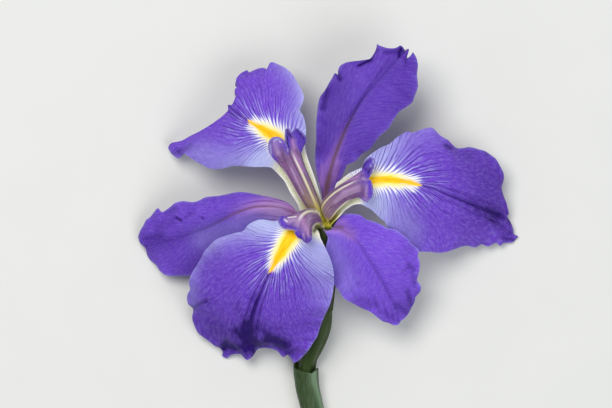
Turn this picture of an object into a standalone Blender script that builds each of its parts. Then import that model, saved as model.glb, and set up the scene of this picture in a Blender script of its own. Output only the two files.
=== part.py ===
"""A violet water iris, picked: one open flower on its cut stem, lying face up on a table.

The sizes below are real ones, in millimetres. Places are counted from the heart of the flower, where petals and
style arms leave the floral tube, with +Y away from the stem, +X to the right and heights from the table.
"""

import math

import bmesh
import bpy
import numpy as np
from mathutils import Vector

MM = 0.001

# Place of the heart, seen from the middle of the object's box
HEART_X = -2.3
HEART_Y = 33.5

# The tube's mouth, from which petals and style arms rise
MOUTH_CENTRE = (1.5, -2.2, 29.5)
MOUTH_LEAN = (-0.14, 0.70, 0.70)
PETAL_RING_RADIUS = 3.0
PETAL_BASE_HALF_ANGLE = 23.5
STYLE_RING_RADIUS = 1.25
STYLE_BASE_HALF_WIDTH = 0.7

# Solid sheets: petals, style arms and sheath leaves
PETAL_THICKNESS = 0.8
STYLE_THICKNESS = 0.8
BRACT_THICKNESS = 0.8
BRACT_COLUMNS = 10

# How finely a curve is followed between two places, and the turn past which an edge stays sharp, in degrees
CURVE_STEPS = 40
SHARP_ANGLE = 50

# Stem, ovary and tube: middle line and radius at each place
STEM_LINE = (
    (7.6, -125.0, 3.2),
    (5.0, -105.0, 3.95),
    (1.8, -85.0, 3.9),
    (-2.1, -66.0, 4.0),
    (-4.35, -56.5, 4.4),
)
STEM_RADII = (3.2, 2.5, 2.5, 2.45, 2.2)
STEM_SIDES = 12
STEM_RINGS = 12
OVARY_LINE = (
    (-4.4, -55.9, 4.5),
    (-4.6, -50.0, 5.6),
    (-2.9, -42.5, 8.0),
    (-0.6, -36.0, 10.8),
    (1.2, -30.5, 13.4),
)
OVARY_RADII = (2.2, 2.4, 4.0, 4.2, 3.0)
OVARY_RIBS = 6
OVARY_RIB_DEPTH = 0.1
OVARY_SIDES = 24
OVARY_RINGS = 9
TUBE_LINE = (
    (1.42, -29.8, 13.75),
    (2.6, -23.0, 16.6),
    (3.2, -14.0, 21.3),
    (2.5, -7.5, 25.0),
    (1.75, -3.15, 28.55),
)
TUBE_RADII = (2.9, 2.5, 2.4, 2.5, 2.8)
TUBE_SIDES = 14
TUBE_RINGS = 9

# Sheath leaves, wrapped round the stem: middle line, radius, and where round it their edges lie, in degrees
# from the right over the top. The inner one ends in a point under the pod.
BRACT_ROWS = {"spathe_bract_outer": 11, "spathe_bract_inner": 13}
OUTER_BRACT = (
    (5.8, -111.0, 3.9, 3.45, -20, 185),
    (3.5, -95.0, 3.9, 3.45, -20, 185),
    (0.0, -76.0, 4.0, 3.45, -20, 185),
    (-2.8, -63.0, 4.3, 3.5, -20, 185),
    (-4.25, -56.5, 4.85, 3.65, -20, 185),
    (-4.7, -50.0, 5.6, 3.85, -20, 185),
)
INNER_BRACT = (
    (5.8, -111.0, 4.0, 3.6, 199, 326),
    (3.5, -95.0, 4.0, 3.5, 199, 326),
    (0.0, -76.0, 4.0, 3.5, 199, 326),
    (-2.8, -63.0, 4.3, 3.6, 199, 326),
    (-4.25, -56.5, 4.8, 3.8, 201, 325),
    (-4.8, -50.0, 5.4, 4.1, 203, 322),
    (-3.0, -42.5, 7.8, 5.2, 228, 300),
    (-1.2, -36.5, 10.2, 5.4, 252, 276),
)

# Petals: at each station the midrib, the edge on the left when looking outwards, and the edge on the right.
# The base station comes from the mouth's ring.
FALL_RIGHT = (
    ((6.7, 5.0, 32.6), (5.0, 9.6, 31.8), (7.6, 1.6, 32.6)),
    ((10.0, 9.0, 34.2), (9.0, 14.3, 33.6), (11.0, 4.3, 33.8)),
    ((14.5, 11.8, 35.3), (14.0, 17.0, 34.0), (14.6, 4.5, 34.2)),
    ((21.0, 12.7, 35.0), (19.0, 22.7, 33.0), (18.0, 2.0, 31.5)),
    ((28.5, 12.0, 33.0), (27.7, 28.2, 29.0), (22.3, -3.0, 26.5)),
    ((36.0, 10.2, 29.5), (37.3, 30.2, 24.0), (28.0, -8.0, 20.5)),
    ((45.0, 6.8, 23.5), (46.0, 23.8, 20.0), (36.0, -11.5, 14.5)),
    ((53.5, 3.2, 16.0), (55.0, 22.3, 13.0), (47.0, -9.8, 8.5)),
    ((60.0, 0.2, 8.5), (60.7, 15.0, 8.0), (57.0, -9.0, 4.0)),
    ((63.8, -3.0, 3.0), (60.3, 4.5, 4.5), (65.3, -7.2, 0.5)),
)
FALL_UPPER_LEFT = (
    ((-2.7, 5.5, 30.6), (-6.0, 3.6, 30.4), (-0.4, 6.6, 30.6)),
    ((-6.3, 13.0, 33.0), (-11.0, 11.3, 32.2), (-2.4, 15.5, 32.4)),
    ((-10.2, 20.3, 34.0), (-15.3, 16.7, 32.0), (-4.8, 22.5, 32.2)),
    ((-14.3, 26.3, 33.2), (-22.0, 17.2, 28.5), (-4.8, 31.0, 30.0)),
    ((-19.5, 29.8, 31.0), (-31.5, 17.0, 22.0), (-6.0, 41.5, 25.0)),
    ((-25.0, 32.8, 27.0), (-43.0, 20.0, 11.5), (-13.5, 50.5, 18.0)),
    ((-29.8, 35.5, 21.5), (-50.2, 23.4, 3.5), (-24.5, 49.0, 13.5)),
    ((-30.6, 35.6, 13.0), (-49.0, 25.4, 0.8), (-26.8, 47.6, 9.5)),
)
FALL_LOWER = (
    ((-0.7, -1.6, 33.6), (2.3, -3.0, 33.2), (-2.7, 0.0, 33.6)),
    ((-4.0, -1.2, 35.8), (-0.6, -2.5, 35.3), (-7.0, 0.7, 35.6)),
    ((-7.3, -3.2, 37.4), (-1.5, -4.4, 36.2), (-11.7, 0.1, 36.2)),
    ((-10.3, -7.0, 38.4), (0.3, -7.5, 35.0), (-19.3, -0.6, 35.0)),
    ((-13.3, -12.0, 37.4), (3.3, -13.5, 31.5), (-26.0, -4.3, 31.5)),
    ((-17.3, -19.3, 33.8), (4.6, -21.0, 27.5), (-34.8, -7.4, 26.0)),
    ((-20.7, -27.0, 28.5), (3.5, -28.0, 23.5), (-40.3, -15.0, 19.5)),
    ((-23.0, -34.0, 22.0), (0.6, -35.0, 20.0), (-43.7, -24.0, 13.0)),
    ((-24.0, -41.0, 14.5), (-3.2, -42.0, 16.0), (-42.0, -35.0, 6.5)),
    ((-24.3, -47.0, 8.0), (-8.6, -48.2, 12.0), (-31.0, -46.8, 0.6)),
)
STANDARD_TOP = (
    ((2.3, 8.0, 29.4), (0.5, 8.0, 28.6), (4.7, 8.5, 28.4)),
    ((3.0, 16.0, 31.0), (-0.9, 15.5, 29.6), (8.3, 14.5, 29.4)),
    ((5.0, 24.0, 32.0), (-1.3, 24.0, 29.8), (12.5, 19.5, 30.0)),
    ((9.0, 32.0, 32.2), (-1.2, 33.0, 29.8), (19.0, 26.5, 29.8)),
    ((14.5, 40.0, 31.4), (1.5, 42.0, 29.0), (26.5, 35.5, 28.6)),
    ((20.5, 47.0, 29.6), (6.5, 50.0, 28.0), (32.0, 42.5, 26.6)),
    ((26.8, 53.5, 26.6), (19.0, 57.8, 27.5), (31.3, 54.8, 24.0)),
)
STANDARD_LEFT = (
    ((-7.5, 1.3, 29.6), (-7.7, 0.5, 29.3), (-7.3, 2.3, 28.8)),
    ((-13.3, 3.5, 29.2), (-14.3, 0.6, 28.2), (-12.5, 6.0, 27.4)),
    ((-21.0, 3.8, 28.0), (-20.5, -3.5, 26.0), (-22.5, 8.2, 25.4)),
    ((-28.5, 1.5, 25.6), (-27.0, -9.0, 22.5), (-32.0, 7.7, 22.0)),
    ((-36.5, -2.7, 21.5), (-33.5, -15.0, 15.5), (-42.0, 5.2, 18.0)),
    ((-44.0, -5.5, 16.5), (-42.0, -19.0, 9.5), (-49.5, 4.0, 13.0)),
    ((-51.0, -8.0, 10.8), (-51.0, -19.0, 5.0), (-57.0, 0.5, 7.5)),
    ((-58.0, -10.3, 4.0), (-58.5, -12.0, 0.8), (-60.5, -6.0, 2.0)),
)
STANDARD_LOWER_RIGHT = (
    ((7.3, -4.2, 32.2), (8.5, -0.8, 30.4), (3.2, -7.4, 31.2)),
    ((12.0, -7.5, 31.4), (15.3, -0.6, 29.6), (3.8, -12.6, 27.4)),
    ((15.5, -12.5, 28.8), (24.0, -4.0, 28.4), (4.7, -19.0, 22.4)),
    ((19.3, -18.7, 26.0), (31.5, -9.5, 25.4), (7.5, -26.0, 20.0)),
    ((22.8, -25.0, 22.4), (33.3, -17.5, 21.4), (13.0, -30.0, 18.6)),
    ((25.5, -30.5, 18.4), (33.3, -25.0, 17.0), (18.5, -32.7, 16.4)),
    ((26.7, -34.6, 15.0), (29.5, -32.5, 14.0), (23.5, -35.0, 14.4)),
)

# Each petal: direction round the mouth in degrees, stations, rows along, columns across,
# and the ruffle of its edges as waves along, height and start in turns
PETALS = {
    "fall_right": (5, FALL_RIGHT, 20, 12, (3.2, 1.3, 0.1)),
    "fall_upper_left": (125, FALL_UPPER_LEFT, 18, 12, (3.0, 1.2, 0.4)),
    "fall_lower": (245, FALL_LOWER, 20, 12, (3.4, 1.3, 0.0)),
    "standard_top": (65, STANDARD_TOP, 17, 10, (3.5, 1.0, 0.2)),
    "standard_left": (185, STANDARD_LEFT, 17, 10, (3.0, 0.9, 0.3)),
    "standard_lower_right": (305, STANDARD_LOWER_RIGHT, 15, 10, (3.0, 0.9, 0.6)),
}
# The ruffle as shares of a petal's length: where it starts, over how much it grows, and over how much it fades
# before the tip; and by how many turns the left edge's waves lead the right edge's
RUFFLE_START = 0.25
RUFFLE_GROWTH = 0.3
RUFFLE_FADE = 0.15
RUFFLE_LEAD = 0.3

# Style arms: keel, left edge and right edge at each station, then the two crest lobes as offsets from the tip
STYLE_RIGHT = (
    ((0.9, 4.6, 34.2), (1.0, 6.2, 33.3), (3.2, 1.6, 33.2)),
    ((5.0, 9.7, 38.6), (5.6, 11.9, 36.6), (6.8, 4.9, 36.2)),
    ((10.0, 12.0, 40.2), (10.6, 14.7, 37.8), (11.0, 6.7, 37.2)),
    ((14.2, 12.8, 40.0), (14.4, 15.8, 38.0), (14.6, 6.9, 37.6)),
)
STYLE_UPPER_LEFT = (
    ((-2.4, 6.0, 34.4), (-5.0, 4.6, 33.2), (-1.1, 7.0, 33.2)),
    ((-5.5, 13.5, 37.4), (-9.5, 12.0, 35.6), (-2.8, 15.2, 35.6)),
    ((-8.6, 20.0, 38.8), (-13.2, 18.4, 36.4), (-5.4, 22.3, 36.4)),
    ((-10.9, 23.8, 38.6), (-15.2, 22.4, 36.6), (-6.4, 26.3, 36.6)),
)
STYLE_LOWER = (
    ((-0.9, 0.9, 36.2), (0.3, 0.4, 35.9), (-2.5, 1.8, 35.8)),
    ((-4.0, 1.6, 39.4), (-0.7, -1.7, 38.0), (-7.0, 1.9, 38.0)),
    ((-6.7, -0.3, 41.8), (-2.5, -3.3, 40.0), (-10.6, 0.3, 39.9)),
    ((-8.3, -3.2, 42.2), (-4.0, -5.0, 40.6), (-12.0, -2.8, 40.6)),
)
# Each style arm: direction round the mouth, stations, left lobe, right lobe
STYLE_ARMS = {
    "style_arm_right": (5, STYLE_RIGHT, (2.6, 3.4, 3.0), (2.6, -0.6, 3.2)),
    "style_arm_upper_left": (125, STYLE_UPPER_LEFT, (-1.6, 3.4, 3.6), (-0.4, 3.4, 3.8)),
    "style_arm_lower": (245, STYLE_LOWER, (0.6, -3.6, 2.4), (-2.2, 1.2, 3.4)),
}
ARM_ROWS = 9
CREST_ROWS = 3
ARM_COLUMNS = 8
# Share of a lobe's height that is left in the notch and at its outer edge, and how full it is between them
CREST_LEAST = 0.2
CREST_FULLNESS = 0.65

# Stamens lie between a fall's claw and its style arm: start of the filament, start of the anther, tip
STAMENS = {
    "stamen_right": ((8.4, 7.6, 35.3), (11.0, 9.6, 36.9), (17.0, 10.8, 37.8)),
    "stamen_upper_left": ((-5.3, 11.0, 34.1), (-7.3, 15.5, 35.4), (-10.4, 21.4, 36.1)),
    "stamen_lower": ((-3.4, -0.4, 36.9), (-5.4, -0.8, 38.4), (-9.0, -3.0, 39.9)),
}
FILAMENT_RADIUS = 0.4
ANTHER_RADIUS = 0.65
# The filament stops at this share of its length, and the anther is thick between these shares of its own
FILAMENT_SHARE = 0.9
ANTHER_SHARES = (0.15, 0.6)
STAMEN_SIDES = 8
STAMEN_RINGS = 8

# Colours
VIOLET = (0.16, 0.07, 0.55, 1)
PALE_VIOLET = (0.24, 0.14, 0.62, 1)
MAUVE = (0.38, 0.20, 0.42, 1)
POD_GREEN = (0.10, 0.19, 0.03, 1)
STEM_GREEN = (0.16, 0.26, 0.08, 1)
SHEATH_GREEN = (0.30, 0.42, 0.26, 1)
TUBE_GREEN = (0.30, 0.34, 0.08, 1)
POLLEN_CREAM = (0.72, 0.60, 0.30, 1)


def clear_scene():
    for thing in list(bpy.data.objects):
        bpy.data.objects.remove(thing)


def material(name, colour, roughness):
    made = bpy.data.materials.new(name)
    made.use_nodes = True
    shader = made.node_tree.nodes["Principled BSDF"]
    shader.inputs["Base Color"].default_value = colour
    shader.inputs["Roughness"].default_value = roughness
    shader.inputs["Metallic"].default_value = 0.0
    made.diffuse_color = colour
    return made


def place(point):
    """A point counted from the heart, in metres in the object's frame."""
    return Vector(((point[0] + HEART_X) * MM, (point[1] + HEART_Y) * MM, point[2] * MM))


def through(stations, count):
    """A smooth curve through the stations, read at count places an even distance apart."""
    stations = np.array(stations, float)
    ends = (2 * stations[0] - stations[1], 2 * stations[-1] - stations[-2])
    known = np.concatenate([ends[:1], stations, ends[1:]])
    spans = len(stations) - 1

    def at(t):
        span = min(int(t), spans - 1)
        u = t - span
        p0, p1, p2, p3 = known[span : span + 4]
        bend = 2 * p0 - 5 * p1 + 4 * p2 - p3
        twist = 3 * p1 - p0 - 3 * p2 + p3
        return 0.5 * (2 * p1 + (p2 - p0) * u + bend * u**2 + twist * u**3)

    fine = np.array([at(t) for t in np.linspace(0, spans, CURVE_STEPS * spans + 1)])
    steps = np.linalg.norm(np.diff(fine, axis=0).reshape(len(fine) - 1, -1), axis=1)
    along = np.concatenate([[0], np.cumsum(steps)])
    nearest = [int(np.argmin(np.abs(along - wanted))) for wanted in np.linspace(0, along[-1], count)]
    return fine[nearest]


def mouth_point(radius, angle, sideways=0.0):
    """A point on the mouth's plane, at an angle in degrees from the right and a distance to its left."""
    axis = Vector(MOUTH_LEAN).normalized()
    away = axis.cross(Vector((1, 0, 0))).normalized()
    right = away.cross(axis).normalized()
    turn = math.radians(angle)
    out = right * math.cos(turn) + away * math.sin(turn)
    left = away * math.cos(turn) - right * math.sin(turn)
    return tuple(Vector(MOUTH_CENTRE) + out * radius + left * sideways)


def across(middle, left, right, columns):
    """A row of points bowed from the right edge through the middle to the left edge."""
    v = np.linspace(-1, 1, columns + 1)[:, None]
    return middle + v * (left - right) / 2 + v**2 * ((left + right) / 2 - middle)


def ruffled(grid, waves, height, start):
    """Lifts and drops the edges in waves that grow from the claw to the blade."""
    rows, columns = grid.shape[:2]
    s = np.linspace(0, 1, rows)[:, None]
    v = np.linspace(-1, 1, columns)[None]
    grown = np.clip((s - RUFFLE_START) / RUFFLE_GROWTH, 0, 1) * np.clip((1 - s) / RUFFLE_FADE, 0, 1)
    turn = 2 * math.pi * (waves * s + start + RUFFLE_LEAD * (v > 0))
    grid[..., 2] += height * grown * np.abs(v) ** 3 * np.sin(turn)
    return grid


def sheet_object(name, grid, thickness, finish):
    """A closed thin solid round a grid of points."""
    rows, columns = grid.shape[:2]
    mesh = bpy.data.meshes.new(name)
    bm = bmesh.new()
    corners = [[bm.verts.new(place(point)) for point in row] for row in grid]
    for i in range(rows - 1):
        for j in range(columns - 1):
            bm.faces.new((corners[i][j], corners[i + 1][j], corners[i + 1][j + 1], corners[i][j + 1]))
    bmesh.ops.recalc_face_normals(bm, faces=bm.faces)
    bm.to_mesh(mesh)
    bm.free()
    mesh.shade_smooth()
    made = bpy.data.objects.new(name, mesh)
    bpy.context.scene.collection.objects.link(made)
    mesh.materials.append(finish)
    shell = made.modifiers.new("thickness", "SOLIDIFY")
    shell.thickness = thickness * MM
    shell.offset = 0.0
    return made


def tube_object(name, line, radii, finish, sides, rings, ribs=0, rib_depth=0.0):
    """A closed round solid along a line, with flat ends and, where wanted, ribs along it."""
    path = through([(*point, radius) for point, radius in zip(line, radii)], rings)
    points = [Vector(p[:3]) for p in path]
    bm = bmesh.new()
    loops = []
    for k, point in enumerate(points):
        tangent = (points[min(k + 1, rings - 1)] - points[max(k - 1, 0)]).normalized()
        side = tangent.cross(Vector((0, 0, 1))).normalized()
        up = side.cross(tangent)
        end_fade = math.sin(math.pi * k / (rings - 1))
        loop = []
        for j in range(sides):
            angle = 2 * math.pi * j / sides
            radius = path[k][3] * (1 + rib_depth * end_fade * math.cos(ribs * angle))
            loop.append(bm.verts.new(place(point + (side * math.cos(angle) + up * math.sin(angle)) * radius)))
        loops.append(loop)
    for low, high in zip(loops, loops[1:]):
        for j in range(sides):
            bm.faces.new((low[j], low[(j + 1) % sides], high[(j + 1) % sides], high[j]))
    bm.faces.new(loops[0])
    bm.faces.new(loops[-1])
    bmesh.ops.recalc_face_normals(bm, faces=bm.faces)
    mesh = bpy.data.meshes.new(name)
    bm.to_mesh(mesh)
    bm.free()
    mesh.shade_smooth()
    mesh.set_sharp_from_angle(angle=math.radians(SHARP_ANGLE))
    mesh.materials.append(finish)
    made = bpy.data.objects.new(name, mesh)
    bpy.context.scene.collection.objects.link(made)
    return made


def make_petals():
    fall_finish = material("fall_violet", VIOLET, 0.6)
    standard_finish = material("standard_violet", PALE_VIOLET, 0.6)
    for name, (angle, stations, rows, columns, ruffle) in PETALS.items():
        base = tuple(
            mouth_point(PETAL_RING_RADIUS, angle + side * PETAL_BASE_HALF_ANGLE) for side in (0, 1, -1)
        )
        lines = through((base, *stations), rows)
        grid = np.array([across(*line, columns) for line in lines])
        finish = fall_finish if name.startswith("fall") else standard_finish
        sheet_object(name, ruffled(grid, *ruffle), PETAL_THICKNESS, finish)


def crest_rise(v):
    """How far a crest stands out across the arm: two rounded lobes with a notch between them."""
    return CREST_LEAST + (1 - CREST_LEAST) * abs(math.sin(math.pi * v)) ** CREST_FULLNESS


def make_style_arms():
    finish = material("style_mauve", MAUVE, 0.5)
    for name, (angle, stations, left_lobe, right_lobe) in STYLE_ARMS.items():
        base = tuple(
            mouth_point(STYLE_RING_RADIUS, angle, side * STYLE_BASE_HALF_WIDTH) for side in (0, 1, -1)
        )
        lines = through((base, *stations), ARM_ROWS)
        rows = [across(*line, ARM_COLUMNS) for line in lines]
        tip = rows[-1]
        left_lobe, right_lobe = np.array(left_lobe), np.array(right_lobe)
        rises = []
        for v in np.linspace(-1, 1, ARM_COLUMNS + 1):
            lobe = (left_lobe + right_lobe + (left_lobe - right_lobe) * np.sign(v)) / 2
            rises.append(lobe * crest_rise(v))
        for step in range(1, CREST_ROWS + 1):
            rows.append(tip + np.array(rises) * step / CREST_ROWS)
        sheet_object(name, np.array(rows), STYLE_THICKNESS, finish)


def make_stamens():
    finish = material("stamen_cream", POLLEN_CREAM, 0.7)
    for name, (start, neck, tip) in STAMENS.items():
        start, neck, tip = Vector(start), Vector(neck), Vector(tip)
        thick = [neck.lerp(tip, share) for share in ANTHER_SHARES]
        line = (start, start.lerp(neck, FILAMENT_SHARE), *thick, tip)
        radii = (FILAMENT_RADIUS, FILAMENT_RADIUS, ANTHER_RADIUS, ANTHER_RADIUS, FILAMENT_RADIUS)
        tube_object(name, line, radii, finish, STAMEN_SIDES, STAMEN_RINGS)


def make_bracts():
    finish = material("sheath_green", SHEATH_GREEN, 0.55)
    for name, stations in (("spathe_bract_outer", OUTER_BRACT), ("spathe_bract_inner", INNER_BRACT)):
        rows = BRACT_ROWS[name]
        path = through(stations, rows)
        grid = []
        for k, (x, y, z, radius, first, last) in enumerate(path):
            tangent = Vector(path[min(k + 1, rows - 1)][:3] - path[max(k - 1, 0)][:3]).normalized()
            side = tangent.cross(Vector((0, 0, 1))).normalized()
            up = side.cross(tangent)
            angles = np.radians(np.linspace(first, last, BRACT_COLUMNS + 1))
            grid.append(
                [Vector((x, y, z)) + (side * math.cos(a) + up * math.sin(a)) * radius for a in angles]
            )
        sheet_object(name, np.array(grid), BRACT_THICKNESS, finish)


def main():
    clear_scene()
    stem_finish = material("stem_green", STEM_GREEN, 0.5)
    tube_object("stem", STEM_LINE, STEM_RADII, stem_finish, STEM_SIDES, STEM_RINGS)
    make_bracts()
    pod_finish = material("pod_green", POD_GREEN, 0.5)
    tube_object(
        "ovary", OVARY_LINE, OVARY_RADII, pod_finish, OVARY_SIDES, OVARY_RINGS, OVARY_RIBS, OVARY_RIB_DEPTH
    )
    tube_finish = material("tube_green", TUBE_GREEN, 0.5)
    tube_object("floral_tube", TUBE_LINE, TUBE_RADII, tube_finish, TUBE_SIDES, TUBE_RINGS)
    make_petals()
    make_style_arms()
    make_stamens()


main()
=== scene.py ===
"""The looks of a picked violet water iris, lying face up on its cut stem, modelled over its solids.

Places in the tables are in millimetres from the heart of the flower, where petals and style arms leave the
floral tube, with +Y away from the stem, +X to the right and heights from the table. Outlines, marks and dents
are pixel places of the reference picture, 612 by 408, whose pixels are a third of a millimetre at the flower.
"""

import math

import bpy
import numpy as np
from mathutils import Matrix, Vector


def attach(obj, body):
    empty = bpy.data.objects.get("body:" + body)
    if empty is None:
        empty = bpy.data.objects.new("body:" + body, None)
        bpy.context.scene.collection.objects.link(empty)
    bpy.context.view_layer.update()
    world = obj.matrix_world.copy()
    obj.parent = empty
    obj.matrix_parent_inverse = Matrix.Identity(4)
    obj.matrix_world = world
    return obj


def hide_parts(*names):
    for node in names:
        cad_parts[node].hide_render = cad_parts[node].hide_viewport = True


bl_info = {
    "name": "Violet Water Iris",
    "version": (1, 0, 0),
    "blender": (4, 5, 0),
    "location": "3D View > Sidebar > Iris",
    "description": "Models the petals, style arms, pod, stem and sheath of a picked water iris",
    "category": "Object",
}

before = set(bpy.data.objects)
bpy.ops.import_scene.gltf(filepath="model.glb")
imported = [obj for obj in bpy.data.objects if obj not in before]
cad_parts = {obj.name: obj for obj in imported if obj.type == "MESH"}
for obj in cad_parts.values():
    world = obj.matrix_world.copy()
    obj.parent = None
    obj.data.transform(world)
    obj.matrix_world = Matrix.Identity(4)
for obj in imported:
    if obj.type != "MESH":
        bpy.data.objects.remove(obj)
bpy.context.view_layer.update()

# The heart's place in the frame in mm, and the picture that the camera takes from straight above
MM = 0.001
HEART = np.array((-2.3, 33.5, 0.0))
HEART_PIXEL = np.array((320.0, 218.0))
MM_PER_PIXEL = 1 / 3
PIXEL_STEP = (MM_PER_PIXEL, -MM_PER_PIXEL)
PICTURE_MIDDLE = np.array((306.0, 204.0))
VIEW_MIDDLE = (PICTURE_MIDDLE - HEART_PIXEL) * PIXEL_STEP
VIEW_PLANE = 22.0
CAMERA_LENS = 400.0
CAMERA_SENSOR = 36.0
PICTURE_WIDTH = 612 * MM_PER_PIXEL
CAMERA_HEIGHT = VIEW_PLANE + PICTURE_WIDTH * CAMERA_LENS / CAMERA_SENSOR

# The tube's mouth, from which petals and style arms rise
MOUTH_CENTRE = (1.5, -2.2, 29.5)
MOUTH_LEAN = (-0.14, 0.70, 0.70)
PETAL_RING_RADIUS = 3.0
STYLE_RING_RADIUS = 1.25
STYLE_BASE_HALF_WIDTH = 0.7
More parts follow.
